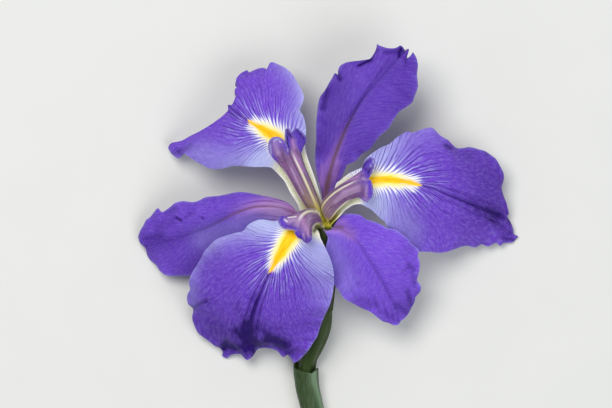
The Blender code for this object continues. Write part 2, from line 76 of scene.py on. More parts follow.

# What every petal has
# angle: its direction round the mouth in degrees; grip: half the angle that its base takes on the ring
# stations: from claw to tip, the midrib, the edge on the left when looking outwards, and the right edge
# left_edge, tip, right_edge: pixels of its outline
# ruffle: waves along a side, their height in mm and where they start, in turns
# hem: where the left, middle and right of its end lie from the tip once they are turned down, or None
# heart: distances from the base in mm between which the heart's colour fades; below 0 there is none
# marks: a colour, the two pixels between which it lies, and its half width in mm; lavender ones are painted
# light, hollow ones painted shade
# dents: two pixels, half width, depth in mm and how dark it is, the painted shade of the dent or fold; below
# 0 they are a swelling and painted lighter

# What falls have besides
# root: pixel from which the veins fan out; bend: the less, the more they bend outwards
# signal: length, half width at its root and half width at its tip in mm
# halo: its width in mm at the signal's tip, how much more at the root, how many widths its rays reach
# pale_left, pale_right: angles between which a side turns pale, distances between which it fades, strength
# midline: darkness of the lines past the signal; depth: darkness of the blade near the root and far from it,
# its deeper colour with painted shade where it curves down
# comb: strength of the fine lines, left and right; rays: half angle of the central veins, left and right
FALLS = {
    "fall_right": dict(
        angle=5, grip=42, ruffle=(3.2, 1.3, 0.1), hem=None,
        stations=(
            ((6.7, 5.0, 32.6), (5.0, 9.6, 31.8), (7.6, 1.6, 32.6)),
            ((10.0, 9.0, 34.2), (9.0, 14.3, 33.6), (11.0, 4.3, 33.8)),
            ((14.5, 11.8, 35.3), (14.0, 17.0, 34.0), (14.6, 4.5, 34.2)),
            ((21.0, 12.7, 35.0), (19.0, 22.7, 33.0), (18.0, 2.0, 31.5)),
            ((28.5, 12.0, 33.0), (27.7, 28.2, 29.0), (22.3, -3.0, 26.5)),
            ((36.0, 10.2, 29.5), (37.3, 30.2, 24.0), (28.0, -8.0, 20.5)),
            ((45.0, 6.8, 23.5), (46.0, 23.8, 20.0), (36.0, -11.5, 14.5)),
            ((53.5, 3.2, 16.0), (55.0, 22.3, 13.0), (47.0, -9.8, 8.5)),
            ((60.0, 0.2, 8.5), (60.7, 15.0, 8.0), (57.0, -9.0, 4.0)),
            ((63.8, -3.0, 3.0), (60.3, 4.5, 4.5), (65.3, -7.2, 0.5)),
        ),
        left_edge=(
            (335, 187), (341, 180), (348, 174), (356, 170), (362, 167), (365, 160), (370, 155), (377, 150),
            (382, 147), (390, 143.5), (396, 138), (403, 133.5), (408, 131.5), (413, 132.5), (420, 130),
            (427, 128), (432, 127.5), (436, 131), (441, 136), (448, 140), (453, 145), (457, 148),
            (463, 148), (470, 147), (478, 149), (485, 151), (491, 155), (496, 159), (500, 166), (503, 172),
            (504, 178), (502, 186), (500, 195), (499, 204),
        ),
        tip=(
            (499, 204), (498, 210), (503, 212), (508, 212.5), (509, 214), (507, 217), (510, 221),
            (513, 228), (514, 234), (518, 236), (516, 239),
        ),
        right_edge=(
            (331, 224.5), (337, 217.5), (343, 211.5), (348, 208), (353, 205), (359, 204), (363, 205),
            (370, 209), (374, 212), (380, 218), (385, 222), (387, 227), (393, 234), (401, 241), (410, 248),
            (420, 251.5), (430, 252), (440, 253), (450, 251), (465, 246), (475, 247.5), (482, 244.5),
            (488, 246.5), (496, 243), (500, 246), (503, 243.5), (508, 243), (513, 242), (516, 239),
        ),
        root=(369, 180.5), bend=0.35, signal=(18.4, 1.25, 0.75), halo=(2.4, 3.2, 2.2), heart=(1.5, 8),
        pale_left=(20, 54, 12, 40, 0.65), pale_right=(20, 58, 20, 52, 0.95), midline=0.65,
        depth=(0.0, 0.36), comb=(1.3, 1.1), rays=(0.3, 0.3),
        # the lavender mark is painted light on the lower part of the blade, which lies in shade
        marks=(("lavender", 394, 203, 412, 226, 4.2),),
        dents=(
            (446, 145.5, 450, 147.5, 0.7, 0.9, 0.7), (470, 201, 503, 215, 0.7, 0.5, 0.14),
            (489, 209, 500, 215, 1.4, 0.2, 0.12), (494, 218, 506, 234, 1.8, 0.5, 0.28),
            (430, 160, 482, 184, 7.0, 0.0, 0.09), (484, 203, 498, 207, 0.5, -0.3, -0.12),
            (455, 197, 495, 214, 2.4, 0.3, 0.12), (434, 150, 452, 162, 3.0, -0.5, 0.0),
            (475, 210, 494, 222, 0.5, 0.3, 0.2), (480, 198, 498, 208, 0.4, 0.3, 0.12),
            (500, 238, 514, 240, 0.8, 0.3, 0.3), (452, 150, 470, 156, 1.5, 0.3, 0.15),
            (424, 242, 498, 239, 4.2, 0.0, -0.3), (376, 156, 396, 161, 3.0, 0.0, 0.1),
        ),
    ),
    "fall_upper_left": dict(
        angle=125, grip=23.5, ruffle=(3.0, 1.2, 0.4),
        hem=((1.2, 0.6, -2.7), (0.6, -0.9, -8.5), (-0.8, -1.8, -4.0)),
        stations=(
            ((-2.7, 5.5, 30.6), (-6.0, 3.6, 30.4), (-0.4, 6.6, 30.6)),
            ((-6.3, 13.0, 33.0), (-11.0, 11.3, 32.2), (-2.4, 15.5, 32.4)),
            ((-10.2, 20.3, 34.0), (-15.3, 16.7, 32.0), (-4.8, 22.5, 32.2)),
            ((-14.3, 26.3, 33.2), (-22.0, 17.2, 28.5), (-4.8, 31.0, 30.0)),
            ((-19.5, 29.8, 31.0), (-31.5, 17.0, 22.0), (-6.0, 41.5, 25.0)),
            ((-25.0, 32.8, 27.0), (-43.0, 20.0, 11.5), (-13.5, 50.5, 18.0)),
            ((-29.8, 35.5, 21.5), (-50.2, 23.4, 3.5), (-24.5, 49.0, 13.5)),
        ),
        left_edge=(
            (302, 213), (297, 203), (290, 192), (285, 182), (280, 176), (273, 169), (268, 167), (255, 167),
            (240, 166), (232, 166), (225, 168), (217, 169), (208, 168), (203, 165), (195, 161), (188, 156),
            (184, 153.5), (181, 156), (178, 158.5), (174, 156), (170, 152), (168, 148),
        ),
        tip=(
            (168, 148), (170, 144), (175, 142.5), (182, 140.5), (190, 136), (200, 131), (210, 125),
            (220, 118), (225, 113.5), (228, 110), (228, 105), (232, 104.5), (235, 98), (236, 93),
            (234.5, 90), (238, 85), (236, 80), (238, 76), (242, 72.5), (247, 70),
        ),
        right_edge=(
            (322.5, 205), (321, 198), (315.8, 181), (310.5, 166), (307, 156), (305, 145), (306, 130),
            (305, 122), (303, 115), (300, 110), (303, 102), (304, 96), (301, 89), (297, 82), (293, 75),
            (287, 69), (280, 65), (272, 62), (269, 64), (267, 70), (265, 68), (260, 68), (254, 70),
            (250, 72.5), (247, 70),
        ),
        root=(284, 144), bend=0.5, signal=(15.7, 1.7, 0.7), halo=(2.2, 3.4, 1.8), heart=(1.5, 8),
        pale_left=(22, 58, 22, 62, 0.95), pale_right=(56, 84, 18, 46, 0.95), midline=0.7, depth=(0.0, 0.1),
        comb=(0.8, 0.25), rays=(0.3, 0.3),
        # the lavender mark is painted light along the lower side of the blade, which lies in shade
        marks=(("lavender", 200, 154, 246, 156, 4.5),),
        dents=(
            (172, 155, 190, 146, 0.9, 0.8, 0.3), (228, 112, 236, 116, 0.9, 0.2, 0.2),
            (176, 149, 183, 156, 0.6, 0.2, 0.3),
        ),
    ),
    "fall_lower": dict(
        angle=245, grip=12, ruffle=(3.4, 1.3, 0.0), hem=None,
        stations=(
            ((-0.7, -1.6, 33.6), (0.3, -3.7, 33.0), (-2.7, 0.0, 33.6)),
            ((-4.0, -1.2, 35.8), (-0.6, -2.5, 35.3), (-7.0, 0.7, 35.6)),
            ((-7.3, -3.2, 37.4), (-1.5, -4.4, 36.2), (-11.7, 0.1, 36.2)),
            ((-10.3, -7.0, 38.4), (0.3, -7.5, 35.0), (-19.3, -0.6, 35.0)),
            ((-13.3, -12.0, 37.4), (3.3, -13.5, 31.5), (-26.0, -4.3, 31.5)),
            ((-17.3, -19.3, 33.8), (4.6, -21.0, 27.5), (-34.8, -7.4, 26.0)),
            ((-20.7, -27.0, 28.5), (3.5, -28.0, 23.5), (-40.3, -15.0, 19.5)),
            ((-23.0, -34.0, 22.0), (0.6, -35.0, 20.0), (-43.7, -24.0, 13.0)),
            ((-24.0, -41.0, 14.5), (-3.2, -42.0, 16.0), (-42.0, -35.0, 6.5)),
            ((-24.3, -47.0, 8.0), (-8.6, -48.2, 12.0), (-31.0, -46.8, 0.6)),
        ),
        left_edge=(
            (320.5, 229), (317.5, 228), (315.5, 229.8), (318.5, 231), (320.5, 238), (325, 247), (330, 258),
            (333, 268), (334, 280), (333, 292), (331, 301), (328, 309), (324, 317), (320, 328), (317, 337),
            (313, 343), (307, 352), (302, 357), (298, 361), (294, 363),
        ),
        tip=(
            (294, 363), (288, 355), (283, 357), (277, 351), (270, 348.5), (262, 348), (257, 350),
            (253, 356), (248, 360), (244, 358), (240, 354), (232, 355), (227, 358.5),
        ),
        right_edge=(
            (312, 218), (299, 215.7), (285, 217.7), (275, 221), (262, 219.5), (255, 221), (248, 225),
            (243, 231), (235, 233), (225, 236), (217, 239), (210, 245), (204, 252), (200, 260), (195, 268),
            (191, 275), (189, 283), (190, 289), (187, 296), (188, 304), (193, 309), (192, 318), (194, 325),
            (198, 333), (203, 337), (210, 342), (215, 346), (220, 348), (223, 352), (222, 356),
            (227, 358.5),
        ),
        root=(289, 233), bend=0.5, signal=(15.4, 1.9, 0.75), halo=(1.8, 2.8, 1.4), heart=(1.5, 8),
        pale_left=(24, 62, 14, 56, 0.72), pale_right=(26, 66, 12, 40, 1.0), midline=1.0, depth=(0.06, 0.32),
        comb=(1.1, 0.9), rays=(0.95, 0.4),
        # hollow marks are painted shade in the gap under the claw and the lower style arm; lavender marks are
        # painted light on rims that bend down into shade
        marks=(
            ("hollow", 314, 231.5, 316.5, 227.5, 0.5), ("hollow", 317, 227, 325, 228, 0.6),
            ("hollow", 319.5, 228, 323, 231, 0.9), ("lavender", 206, 247, 264, 220, 2.4),
            ("lavender", 194, 262, 192, 302, 2.4),
        ),
        dents=(
            (194, 307, 207, 301, 0.7, 0.7, 0.4), (201, 330, 210, 324, 1.0, -0.6, 0.0),
            (247, 326, 251, 344, 1.8, 0.5, 0.62), (268, 339, 288, 344, 1.5, 0.4, 0.5),
            (252, 343, 264, 343, 1.6, 0.2, 0.5), (225, 346, 246, 349, 1.6, 0.2, 0.55),
            (222, 352, 226, 342, 0.8, 0.5, 0.35), (256, 298, 250, 332, 2.2, 0.3, 0.34),
            (236, 330, 250, 345, 1.4, 0.1, 0.42), (260, 328, 276, 341, 1.4, 0.1, 0.45),
            (279, 344, 290, 354, 1.6, 0.1, 0.42), (238, 306, 246, 330, 2.0, 0.0, 0.2),
            (214, 326, 238, 336, 3.0, 0.0, 0.16), (264, 322, 280, 332, 2.2, 0.0, 0.18),
            (212, 255, 226, 332, 8.0, 0.0, 0.08),
        ),
    ),
}

# What standards have besides
# rose: half width, length and strength of the rose base; rib: strength, brownness, half width of the midrib
# lines: strength of the veins; veins: how a vein's number grows along and across the petal, left and right
# shade: darkness of the blade, its deeper colour with painted shade where it faces away from the light,
# darkness and half width of the painted shade in its groove, and darkness of a wider painted shade
STANDARDS = {
    "standard_top": dict(
        angle=65, grip=34, ruffle=(3.5, 1.0, 0.2), hem=None,
        stations=(
            ((2.3, 8.0, 29.4), (0.5, 8.0, 28.6), (4.7, 8.5, 28.4)),
            ((3.6, 16.0, 31.0), (-0.9, 15.5, 29.6), (8.3, 14.5, 29.4)),
            ((6.2, 24.0, 32.0), (-1.3, 24.0, 29.8), (12.5, 19.5, 30.0)),
            ((9.7, 32.0, 32.2), (-1.2, 33.0, 29.8), (19.0, 26.5, 29.8)),
            ((14.5, 40.0, 31.4), (1.5, 42.0, 29.0), (26.5, 35.5, 28.6)),
            ((20.5, 47.0, 29.6), (6.5, 50.0, 28.0), (32.0, 42.5, 26.6)),
            ((26.8, 53.5, 26.6), (19.0, 57.8, 27.5), (31.3, 54.8, 24.0)),
        ),
        left_edge=(
            (321.5, 194), (317, 175), (315, 160), (316, 140), (316, 125), (317, 113), (318, 105), (320, 97),
            (325, 90), (329, 83), (332, 78), (335, 73), (338, 75), (338, 71), (340, 66), (346, 62.5),
            (355, 61), (364, 60), (369, 59.5), (373, 55), (376, 49), (377, 44),
        ),
        tip=(
            (377, 44), (381, 46), (388, 48), (395, 48), (400, 46), (403, 48), (405, 51), (407, 49),
            (409, 50), (407, 58), (411, 55), (413, 52),
        ),
        right_edge=(
            (334, 192), (338, 183), (342, 177), (345, 170), (347, 165), (352, 163), (357, 160), (362, 154),
            (369, 150), (374, 144), (380, 136), (388, 129), (393, 121), (399, 112), (405, 108), (412, 103),
            (414, 98), (417, 90), (418, 85), (417, 75), (418, 65), (416, 57), (413, 52),
        ),
        heart=(1.5, 7), rose=(2.6, 26, 0.4), rib=(0.7, 1.0, 0.75), lines=1.0, shade=(0.38, 0.5, 0.34, 0.1),
        veins=((-0.3, 1.0), (0.9, -0.75)),
        marks=(
            ("umber", 323, 197, 329, 176, 1.0), ("rose", 320.5, 184, 322, 166, 0.7),
            ("rose", 334.5, 180, 338, 162, 0.8),
        ),
        dents=(
            (359, 65.5, 370, 60, 0.5, 0.7, 0.7), (370, 60, 376, 49, 0.8, 0.5, 0.35),
            (385, 52, 402, 51, 0.8, 0.4, 0.3), (327, 90, 323, 108, 1.0, 0.3, 0.35),
            (337, 72, 340, 79, 0.6, 0.5, 0.5), (401, 48, 399, 56, 0.5, 0.3, 0.5),
            (338, 85, 322, 150, 5.0, 0.0, 0.18), (390, 58, 345, 122, 0.3, 0.15, 0.18),
            (356, 158, 340, 188, 1.6, 0.0, -0.32), (390, 70, 408, 100, 5.0, 0.0, 0.06),
            (346, 166, 331, 190, 0.5, 0.0, -0.3),
        ),
    ),
    "standard_left": dict(
        angle=185, grip=23.5, ruffle=(3.0, 0.9, 0.3), hem=None,
        stations=(
            ((-7.5, 1.3, 29.6), (-7.7, 0.5, 29.3), (-7.3, 2.3, 28.8)),
            ((-13.3, 3.5, 29.2), (-14.3, 0.6, 28.2), (-12.5, 6.0, 27.4)),
            ((-21.0, 3.8, 28.0), (-20.5, -3.5, 26.0), (-22.5, 8.2, 25.4)),
            ((-28.5, 1.5, 25.6), (-27.0, -9.0, 22.5), (-32.0, 7.7, 22.0)),
            ((-36.5, -2.7, 21.5), (-33.5, -15.0, 15.5), (-42.0, 5.2, 18.0)),
            ((-44.0, -5.5, 16.5), (-42.0, -19.0, 9.5), (-49.5, 4.0, 13.0)),
            ((-51.0, -8.0, 10.8), (-51.0, -19.0, 5.0), (-57.0, 0.5, 7.5)),
            ((-58.0, -10.3, 4.0), (-58.5, -12.0, 0.8), (-60.5, -6.0, 2.0)),
        ),
        left_edge=(
            (297, 218), (285, 221), (272, 225), (258, 233), (239, 247), (219, 263), (200, 273.5),
            (190, 275.5), (178, 276), (167, 275.5), (160, 271), (156, 265), (150, 260), (147, 255),
        ),
        tip=((147, 255), (145, 248), (140, 243), (138, 237)),
        right_edge=(
            (298, 212), (290, 204), (280, 199.5), (270, 197), (260, 195), (250, 193), (238, 192),
            (220, 195.5), (206, 197), (200, 200), (193, 202), (183, 201), (175, 203), (170, 207),
            (162, 212), (158, 208), (154, 212), (150, 217), (146, 220), (143, 226), (140, 231), (138, 237),
        ),
        heart=(1.5, 7), rose=(4.0, 27, 0.85), rib=(0.85, 0.2, 0.36), lines=0.7,
        shade=(0.2, 0.4, 0.36, 0.26), veins=((-0.35, 1.0), (-0.25, 1.0)),
        # the lavender mark is painted light on the strip that the lower fall shades
        marks=(("lavender", 204, 240, 276, 215, 4.0),),
        dents=(
            (176, 217.5, 181, 220.5, 0.5, 0.5, 0.7), (202, 218, 202.5, 218.5, 0.5, 0.4, 0.55),
            (158, 228, 170, 222, 1.5, 0.6, 0.2), (146, 238, 160, 236, 1.2, 0.5, 0.3),
            (185, 218, 192, 213, 0.5, 0.4, 0.25), (166, 214, 175, 209, 0.9, 0.4, 0.2),
        ),
    ),
    "standard_lower_right": dict(
        angle=305, grip=23.5, ruffle=(3.0, 0.9, 0.6), hem=None,
        stations=(
            ((7.3, -4.2, 32.2), (8.5, -0.8, 30.4), (3.2, -7.4, 31.2)),
            ((12.0, -7.5, 31.4), (15.3, -0.6, 29.6), (3.8, -12.6, 27.4)),
            ((15.5, -12.5, 28.8), (24.0, -4.0, 28.4), (4.7, -19.0, 22.4)),
            ((19.3, -18.7, 26.0), (31.5, -9.5, 25.4), (7.5, -26.0, 20.0)),
            ((22.8, -25.0, 22.4), (33.3, -17.5, 21.4), (13.0, -30.0, 18.6)),
            ((25.5, -30.5, 18.4), (33.3, -25.0, 17.0), (18.5, -32.7, 16.4)),
            ((26.7, -34.6, 15.0), (29.5, -32.5, 14.0), (23.5, -35.0, 14.4)),
        ),
        left_edge=(
            (336, 217), (343, 214.5), (350, 213.5), (360, 215), (366, 219), (375, 222), (382, 225),
            (387, 228), (395, 229.5), (402, 234), (408, 239), (412, 244), (417, 248), (419, 251),
            (418, 256), (420, 263), (419, 272), (417, 280), (419, 283), (421, 287), (420, 292), (416, 295),
            (415, 301), (412, 307), (409, 313),
        ),
        tip=((409, 313), (405, 318), (401, 321), (398, 325), (393, 325), (390, 322)),
        right_edge=(
            (323, 229), (325.5, 233), (327.8, 238), (326, 246), (325, 258), (327, 268), (330, 279),
            (335, 286), (339, 291), (342, 296), (346, 300), (352, 303), (357, 306), (361, 308), (366, 310),
            (372, 313), (378, 318), (384, 322), (390, 322),
        ),
        heart=(-2, -1), rose=(1.2, 8, 0.4), rib=(0.3, 0.1, 0.36), lines=0.5, shade=(0.0, 0.3, 0.6, 0.12),
        veins=((0.7, -0.8), (0.8, -0.7)),
        # the plum and umber marks at the base are partly painted shade in the midrib's channel; the lavender
        # mark is painted light on the border that the lower fall shades
        marks=(
            ("plum", 335, 223, 352, 231, 1.9), ("umber", 331, 226, 342, 227.6, 0.7),
            ("rose", 334, 221, 345, 222, 0.9), ("lavender", 329, 244, 344, 282, 4.6),
        ),
        dents=(
            (409, 265, 414, 270, 0.9, 0.6, 0.45), (413, 276, 416, 288, 0.9, 0.3, 0.25),
            (408, 292, 411, 304, 1.0, 0.6, 0.5), (398, 306, 406, 312, 1.4, 0.3, 0.4),
            (360, 300, 376, 306, 1.3, 0.4, 0.2), (382, 312, 392, 318, 1.2, 0.3, 0.25),
            (400, 293, 408, 306, 2.2, 0.3, 0.1), (374, 298, 379, 313, 0.5, 0.4, 0.22),
            (383, 303, 388, 318, 0.4, 0.3, 0.22), (368, 300, 370, 309, 0.4, 0.3, 0.14),
            (391, 308, 394, 321, 0.4, 0.3, 0.2), (355, 281, 357, 287, 0.9, 0.5, 0.1),
            (352, 292, 356, 301, 0.5, 0.3, 0.12), (346, 270, 352, 286, 0.7, -0.3, 0.0),
            (402, 272, 409, 268, 0.5, 0.3, 0.2),
        ),
    ),
}

# How strongly each colour of the petals' marks shows
# lavender marks are painted light on rims and borders that lie in shade; hollow marks are painted shade under
# the claws; the lower right standard's plum and umber marks are partly painted shade in its midrib's channel
PETAL_MARKS = dict(rose=0.28, plum=0.3, umber=0.65, hollow=0.85, lavender=0.16)

# How the grids follow their outlines: the share of the length past which the tip does, and how fast the
# movement fades inwards from the edges
PETAL_TIP_START = 0.72
PETAL_EDGE_SHARPNESS = 4
ARM_TIP_START = 0.62
ARM_EDGE_SHARPNESS = 2

# How closely curves are followed between two of their given points
STATION_SAMPLES = 40
OUTLINE_SAMPLES = 12

# The broad ruffle of a petal: the share of its length where it starts, over which it grows and over which it
# ends, and how far the waves of the left side are shifted, in turns
RUFFLE_START = 0.25
RUFFLE_GROWTH = 0.3
RUFFLE_END = 0.15
RUFFLE_SIDE_SHIFT = 0.3
# Fine waves along a petal's rim: length in mm, share of the full height, and how far in they reach in mm
CRIMP_WAVES = ((8.3, 1.0, 4.5), (4.7, 0.6, 3.0), (2.6, 0.35, 1.6))
# What sets the waves of the left side apart from those of the right side
CRIMP_SIDE_SHIFT = 1.7
# Other relief in mm, the powers that bend a hem, and how far the pleats turn over one vein number, in radians
HEM_LENGTH = 8.0
HEM_CURVE = (1.6, 1.6, 1.0)
MIDRIB_DEPTH = 0.35
MIDRIB_HALF_WIDTH = 0.9
PLEAT_TURN = 2.2
# The least height of a petal's upper face, which keeps its lower face above the surface
LEAST_HEIGHT = 0.45
# Faces that meet at a larger angle than this, in degrees, have a sharp edge between them
SHEET_SHARP_ANGLE = 60
ROUND_SHARP_ANGLE = 50

# Vein numbers: how many a fall has in a radian, the gap between those of a standard in mm, and what sets the
# numbers of the two sides apart
FALL_VEINS = 11.5
FALL_SIDE_SHIFT = 40
STANDARD_VEIN_GAP = 1.5
STANDARD_SIDE_SHIFT = 57.3
# Distances in mm from its root at which a petal's veins branch; a standard's don't
FALL_BRANCHES = (14.0, 28.0)
STANDARD_BRANCHES = (900.0, 900.0)
BACK_BRANCHES = (12.0, 25.0)
# Other measures of a petal's colours in mm
PALE_RIM = 0.4
BACK_RIB_HALF_WIDTH = 1.2
UPPER_RELIEF = 0.09
LOWER_RELIEF = 0.15
# Size of the cells of the grain in mm
PETAL_GRAIN = 0.45
STYLE_GRAIN = 0.55

# Places along a style arm, as shares of its length: where its panels start to swell, where its crest takes
# over, where the crest sinks to its edge and where its frill grows
PANEL_START = (0.1, 0.4)
CREST_START = (0.66, 0.86)
CREST_EDGE = (0.92, 1.0)
FRILL_START = (0.86, 1.0)
FRILL_HEIGHT = 0.22
FRILL_TURN = 34

# Style arms have an angle, stations, outline, marks and dents as petals do, and besides
# domes: height of the left and right lobe of the crest in mm; night: how dark each lobe is
# keel: half width of the keel in mm; dun: strength of the brown panels near the heart
STYLE_ARMS = {
    "style_arm_right": dict(
        angle=5, domes=(0.4, 0.5),
        stations=(
            ((0.4, 2.9, 33.8), (0.4, 5.2, 33.0), (2.2, -0.8, 33.0)),
            ((2.8, 6.7, 36.6), (3.0, 8.5, 35.2), (4.4, 1.6, 35.0)),
            ((6.7, 9.7, 39.3), (7.4, 12.2, 37.2), (8.0, 4.9, 36.9)),
            ((11.2, 11.9, 40.4), (11.4, 14.7, 38.2), (11.6, 6.3, 37.6)),
            ((14.2, 12.6, 40.2), (14.2, 16.8, 38.9), (14.0, 6.0, 37.8)),
            ((15.4, 12.9, 40.8), (15.8, 19.0, 41.4), (15.4, 6.0, 39.6)),
        ),
        left_edge=(
            (322.5, 214), (321, 208.5), (322.5, 203), (329, 194.5), (337, 187.8), (345, 182), (352, 177.5),
            (357, 175), (361, 171.5), (366, 161.5),
        ),
        tip=(
            (366, 161.5), (370, 158), (374, 160), (374, 165), (372, 171), (368.5, 177.5), (366.5, 179.5),
            (370, 181), (372, 186), (372.5, 192), (371, 197), (366.5, 202),
        ),
        right_edge=(
            (328, 222), (332, 218), (338, 210.5), (345, 204), (352, 199.5), (358, 197.5), (362, 199.5),
            (366.5, 202),
        ),
        night=(0.25, 0.0), keel=0.3, dun=0.45,
        # blush and lavender marks are painted highlights; the plum marks darken the panels' edges, and at the
        # panel's end they are painted shade
        marks=(
            ("blush_highlight", 345, 192.5, 358, 188, 1.1), ("blush_highlight", 335, 202, 344, 194, 0.7),
            ("rose", 346, 181, 358, 176.5, 0.4), ("plum", 361, 187, 363.5, 195, 0.9),
            ("plum", 334, 213.5, 349, 201.5, 0.4), ("plum", 349, 201, 361, 196, 0.4),
            ("plum", 328, 196.5, 340, 187, 0.28), ("plum", 340, 187, 352, 181.3, 0.28),
            ("plum", 331, 207.5, 345, 198.5, 0.5), ("blue", 369.5, 182, 370.5, 196, 0.65),
            ("blue", 363, 168, 371, 162, 1.1), ("blue", 366, 171, 369, 176, 0.8),
            ("indigo", 363, 166, 367, 171, 0.45), ("indigo", 368.5, 174, 370, 168, 0.35),
            ("blush_highlight", 366.8, 186, 365.5, 200, 0.5), ("lavender", 370.5, 164.5, 371, 166.5, 0.25),
            ("lavender", 373, 160.5, 373.3, 163, 0.3), ("blush_highlight", 363, 178.5, 366, 180, 0.5),
        ),
        dents=((366, 168, 370, 162, 0.5, 0.3, 0.0), (364.8, 181, 364.3, 199, 0.4, 0.4, 0.0)),
    ),
    "style_arm_upper_left": dict(
        angle=125, domes=(1.4, 0.7),
        stations=(
            ((-0.9, 3.2, 33.8), (-3.4, 2.6, 33.0), (0.2, 4.2, 33.0)),
            ((-3.2, 8.6, 35.8), (-6.8, 7.0, 34.4), (-1.3, 10.0, 34.4)),
            ((-6.4, 15.6, 38.0), (-10.6, 13.6, 36.0), (-3.6, 16.6, 36.0)),
            ((-9.0, 20.8, 38.8), (-13.6, 18.6, 36.8), (-5.6, 21.4, 36.8)),
            ((-10.6, 23.0, 38.8), (-16.2, 21.6, 38.2), (-5.6, 24.4, 38.2)),
            ((-11.0, 23.4, 39.8), (-16.8, 25.6, 41.6), (-5.0, 26.6, 42.2)),
        ),
        left_edge=(
            (309, 211), (303, 204), (296, 193), (288, 179), (281, 167), (276, 161.5), (271, 156),
            (268.5, 150), (268.5, 145), (270, 141),
        ),
        tip=(
            (270, 141), (274, 138), (278, 137.5), (282, 139.5), (285, 143), (288.5, 151), (286.5, 142),
            (286, 134), (288, 128.5), (290.5, 133), (292.5, 132.5), (296, 129), (300, 131.5), (303.5, 135),
            (305.5, 139.5),
        ),
        right_edge=(
            (325, 217), (322.5, 210), (320, 203), (316, 192), (310.3, 178), (305, 165.5), (302, 156),
            (301.5, 150.5), (303.5, 145.5), (305.5, 139.5),
        ),
        night=(0.0, 0.0), keel=0.38, dun=0.85,
        # the white mark is a painted glint, blush and lavender marks painted highlights, and the plum mark
        # inside the left hood painted shade
        marks=(
            ("blush_highlight", 274.5, 143, 278, 153, 0.9), ("blush_highlight", 291, 168, 303, 194, 0.4),
            ("rose", 292.5, 140, 296, 156, 0.6), ("plum", 287, 165, 298, 190, 0.6),
            ("plum", 283.5, 165, 306, 206, 0.34), ("plum", 302, 154, 316, 194, 0.32),
            ("blush_highlight", 281, 168, 299, 199, 0.3), ("rose", 296, 155, 303, 172, 0.5),
            ("rose", 285, 165, 296, 182, 0.7), ("plum", 281.5, 153, 284.5, 160, 0.8),
            ("plum", 284, 163, 287, 171, 0.5), ("plum", 295.5, 150, 298, 155, 0.5),
            ("blue", 271.5, 155, 276.5, 160.5, 0.6), ("blue", 284.5, 145, 288, 154, 0.3),
            ("blue", 297, 133, 303, 141, 1.5), ("blue", 299, 143, 300.5, 149, 0.8),
            ("blue", 288.5, 136, 289.5, 150, 0.5), ("indigo", 287.2, 130, 287.5, 147, 0.35),
            ("indigo", 296.5, 130, 304.5, 138.5, 0.35), ("indigo", 288.5, 133, 291, 137, 0.4),
            ("lavender", 269.8, 144, 271.3, 157, 0.3), ("lavender", 272.5, 141, 278.5, 139, 0.3),
            ("white", 279.5, 141, 281, 142.5, 0.16),
        ),
        dents=((281, 152, 285, 162, 1.2, 0.7, 0.0), (291, 132, 292, 140, 0.4, 0.4, 0.0)),
    ),
    "style_arm_lower": dict(
        angle=245, domes=(0.8, 0.6),
        stations=(
            ((-0.4, 1.4, 34.8), (1.2, -1.0, 34.4), (-1.2, 2.4, 34.4)),
            ((-3.2, 2.4, 38.6), (0.0, -2.0, 37.2), (-4.2, 2.6, 37.6)),
            ((-5.6, 1.3, 41.2), (-1.3, -2.5, 39.4), (-7.4, 2.0, 39.8)),
            ((-7.2, -1.0, 42.4), (-2.5, -4.3, 40.8), (-10.2, 0.9, 41.0)),
            ((-8.4, -3.4, 42.4), (-2.5, -6.0, 41.0), (-12.0, 0.3, 41.6)),
            ((-8.8, -4.6, 42.0), (-3.0, -7.6, 41.2), (-13.2, -0.6, 43.2)),
        ),
        left_edge=((324.5, 225), (320, 223.3), (316, 224.5), (312.8, 228.5), (311.8, 233), (312, 239)),
        tip=(
            (312, 239), (309, 243), (305, 243), (302, 239.5), (298, 238), (295, 234), (293.5, 230.5),
            (288, 230), (283, 228), (280, 224.5), (279, 220.5), (281, 217.5),
        ),
        right_edge=((314, 212.5), (307, 210.5), (299, 212), (291, 214.5), (285, 216), (281, 217.5)),
        night=(0.0, 0.0), keel=0.55, dun=0.1,
        # white and blush marks are painted highlights; the plum marks at the far side of the right panel and
        # under the lip are painted shade
        marks=(
            ("blush_highlight", 289, 221, 298, 219, 0.8), ("rose", 303, 220, 307, 231, 1.0),
            ("blush_highlight", 310, 217, 307, 229, 0.7), ("blush_highlight", 300, 216, 297, 225, 0.9),
            ("plum", 317, 214.5, 320, 221, 0.9), ("plum", 286, 226, 293, 227.5, 0.35),
            ("blue", 281, 218.5, 283.5, 224, 0.8), ("blue", 285, 225.5, 291, 227, 0.35),
            ("blue", 295, 229, 299, 237, 0.7), ("blue", 300, 236, 303, 239, 0.6),
            ("blue", 309, 239, 311, 241, 0.6), ("blush_highlight", 303.5, 235, 305, 238, 0.5),
            ("blush_highlight", 308, 233.5, 309.5, 237, 0.4), ("indigo", 300.8, 235, 301.3, 240, 0.22),
            ("indigo", 306, 236, 307, 242, 0.22), ("tan", 287, 230, 295, 231, 0.35),
            ("white", 284.5, 219.5, 287, 221.5, 0.25), ("white", 288, 217.6, 296, 216.6, 0.2),
        ),
        dents=(
            (297.5, 233, 299, 235.5, 0.7, -0.5, 0.0), (303, 237, 304.5, 239.5, 0.7, -0.7, 0.0),
            (308.5, 236, 310, 239, 0.7, -0.6, 0.0), (301, 232, 301, 241, 0.35, 0.5, 0.0),
            (306.3, 232, 307, 242, 0.35, 0.5, 0.0), (286, 226.5, 293, 228, 0.5, 0.5, 0.0),
        ),
    ),
}

# How strongly each colour of the style arms' marks shows
# white marks are painted glints, lavender and blush marks painted highlights; plum marks are the arms' own
# dark streaks and, inside the crests' hoods and at the panels' ends, painted shade
MARKS = dict(rose=0.7, plum=0.75, blush_highlight=0.5, blue=0.75, indigo=0.8, lavender=0.6, tan=0.7, white=0.75)

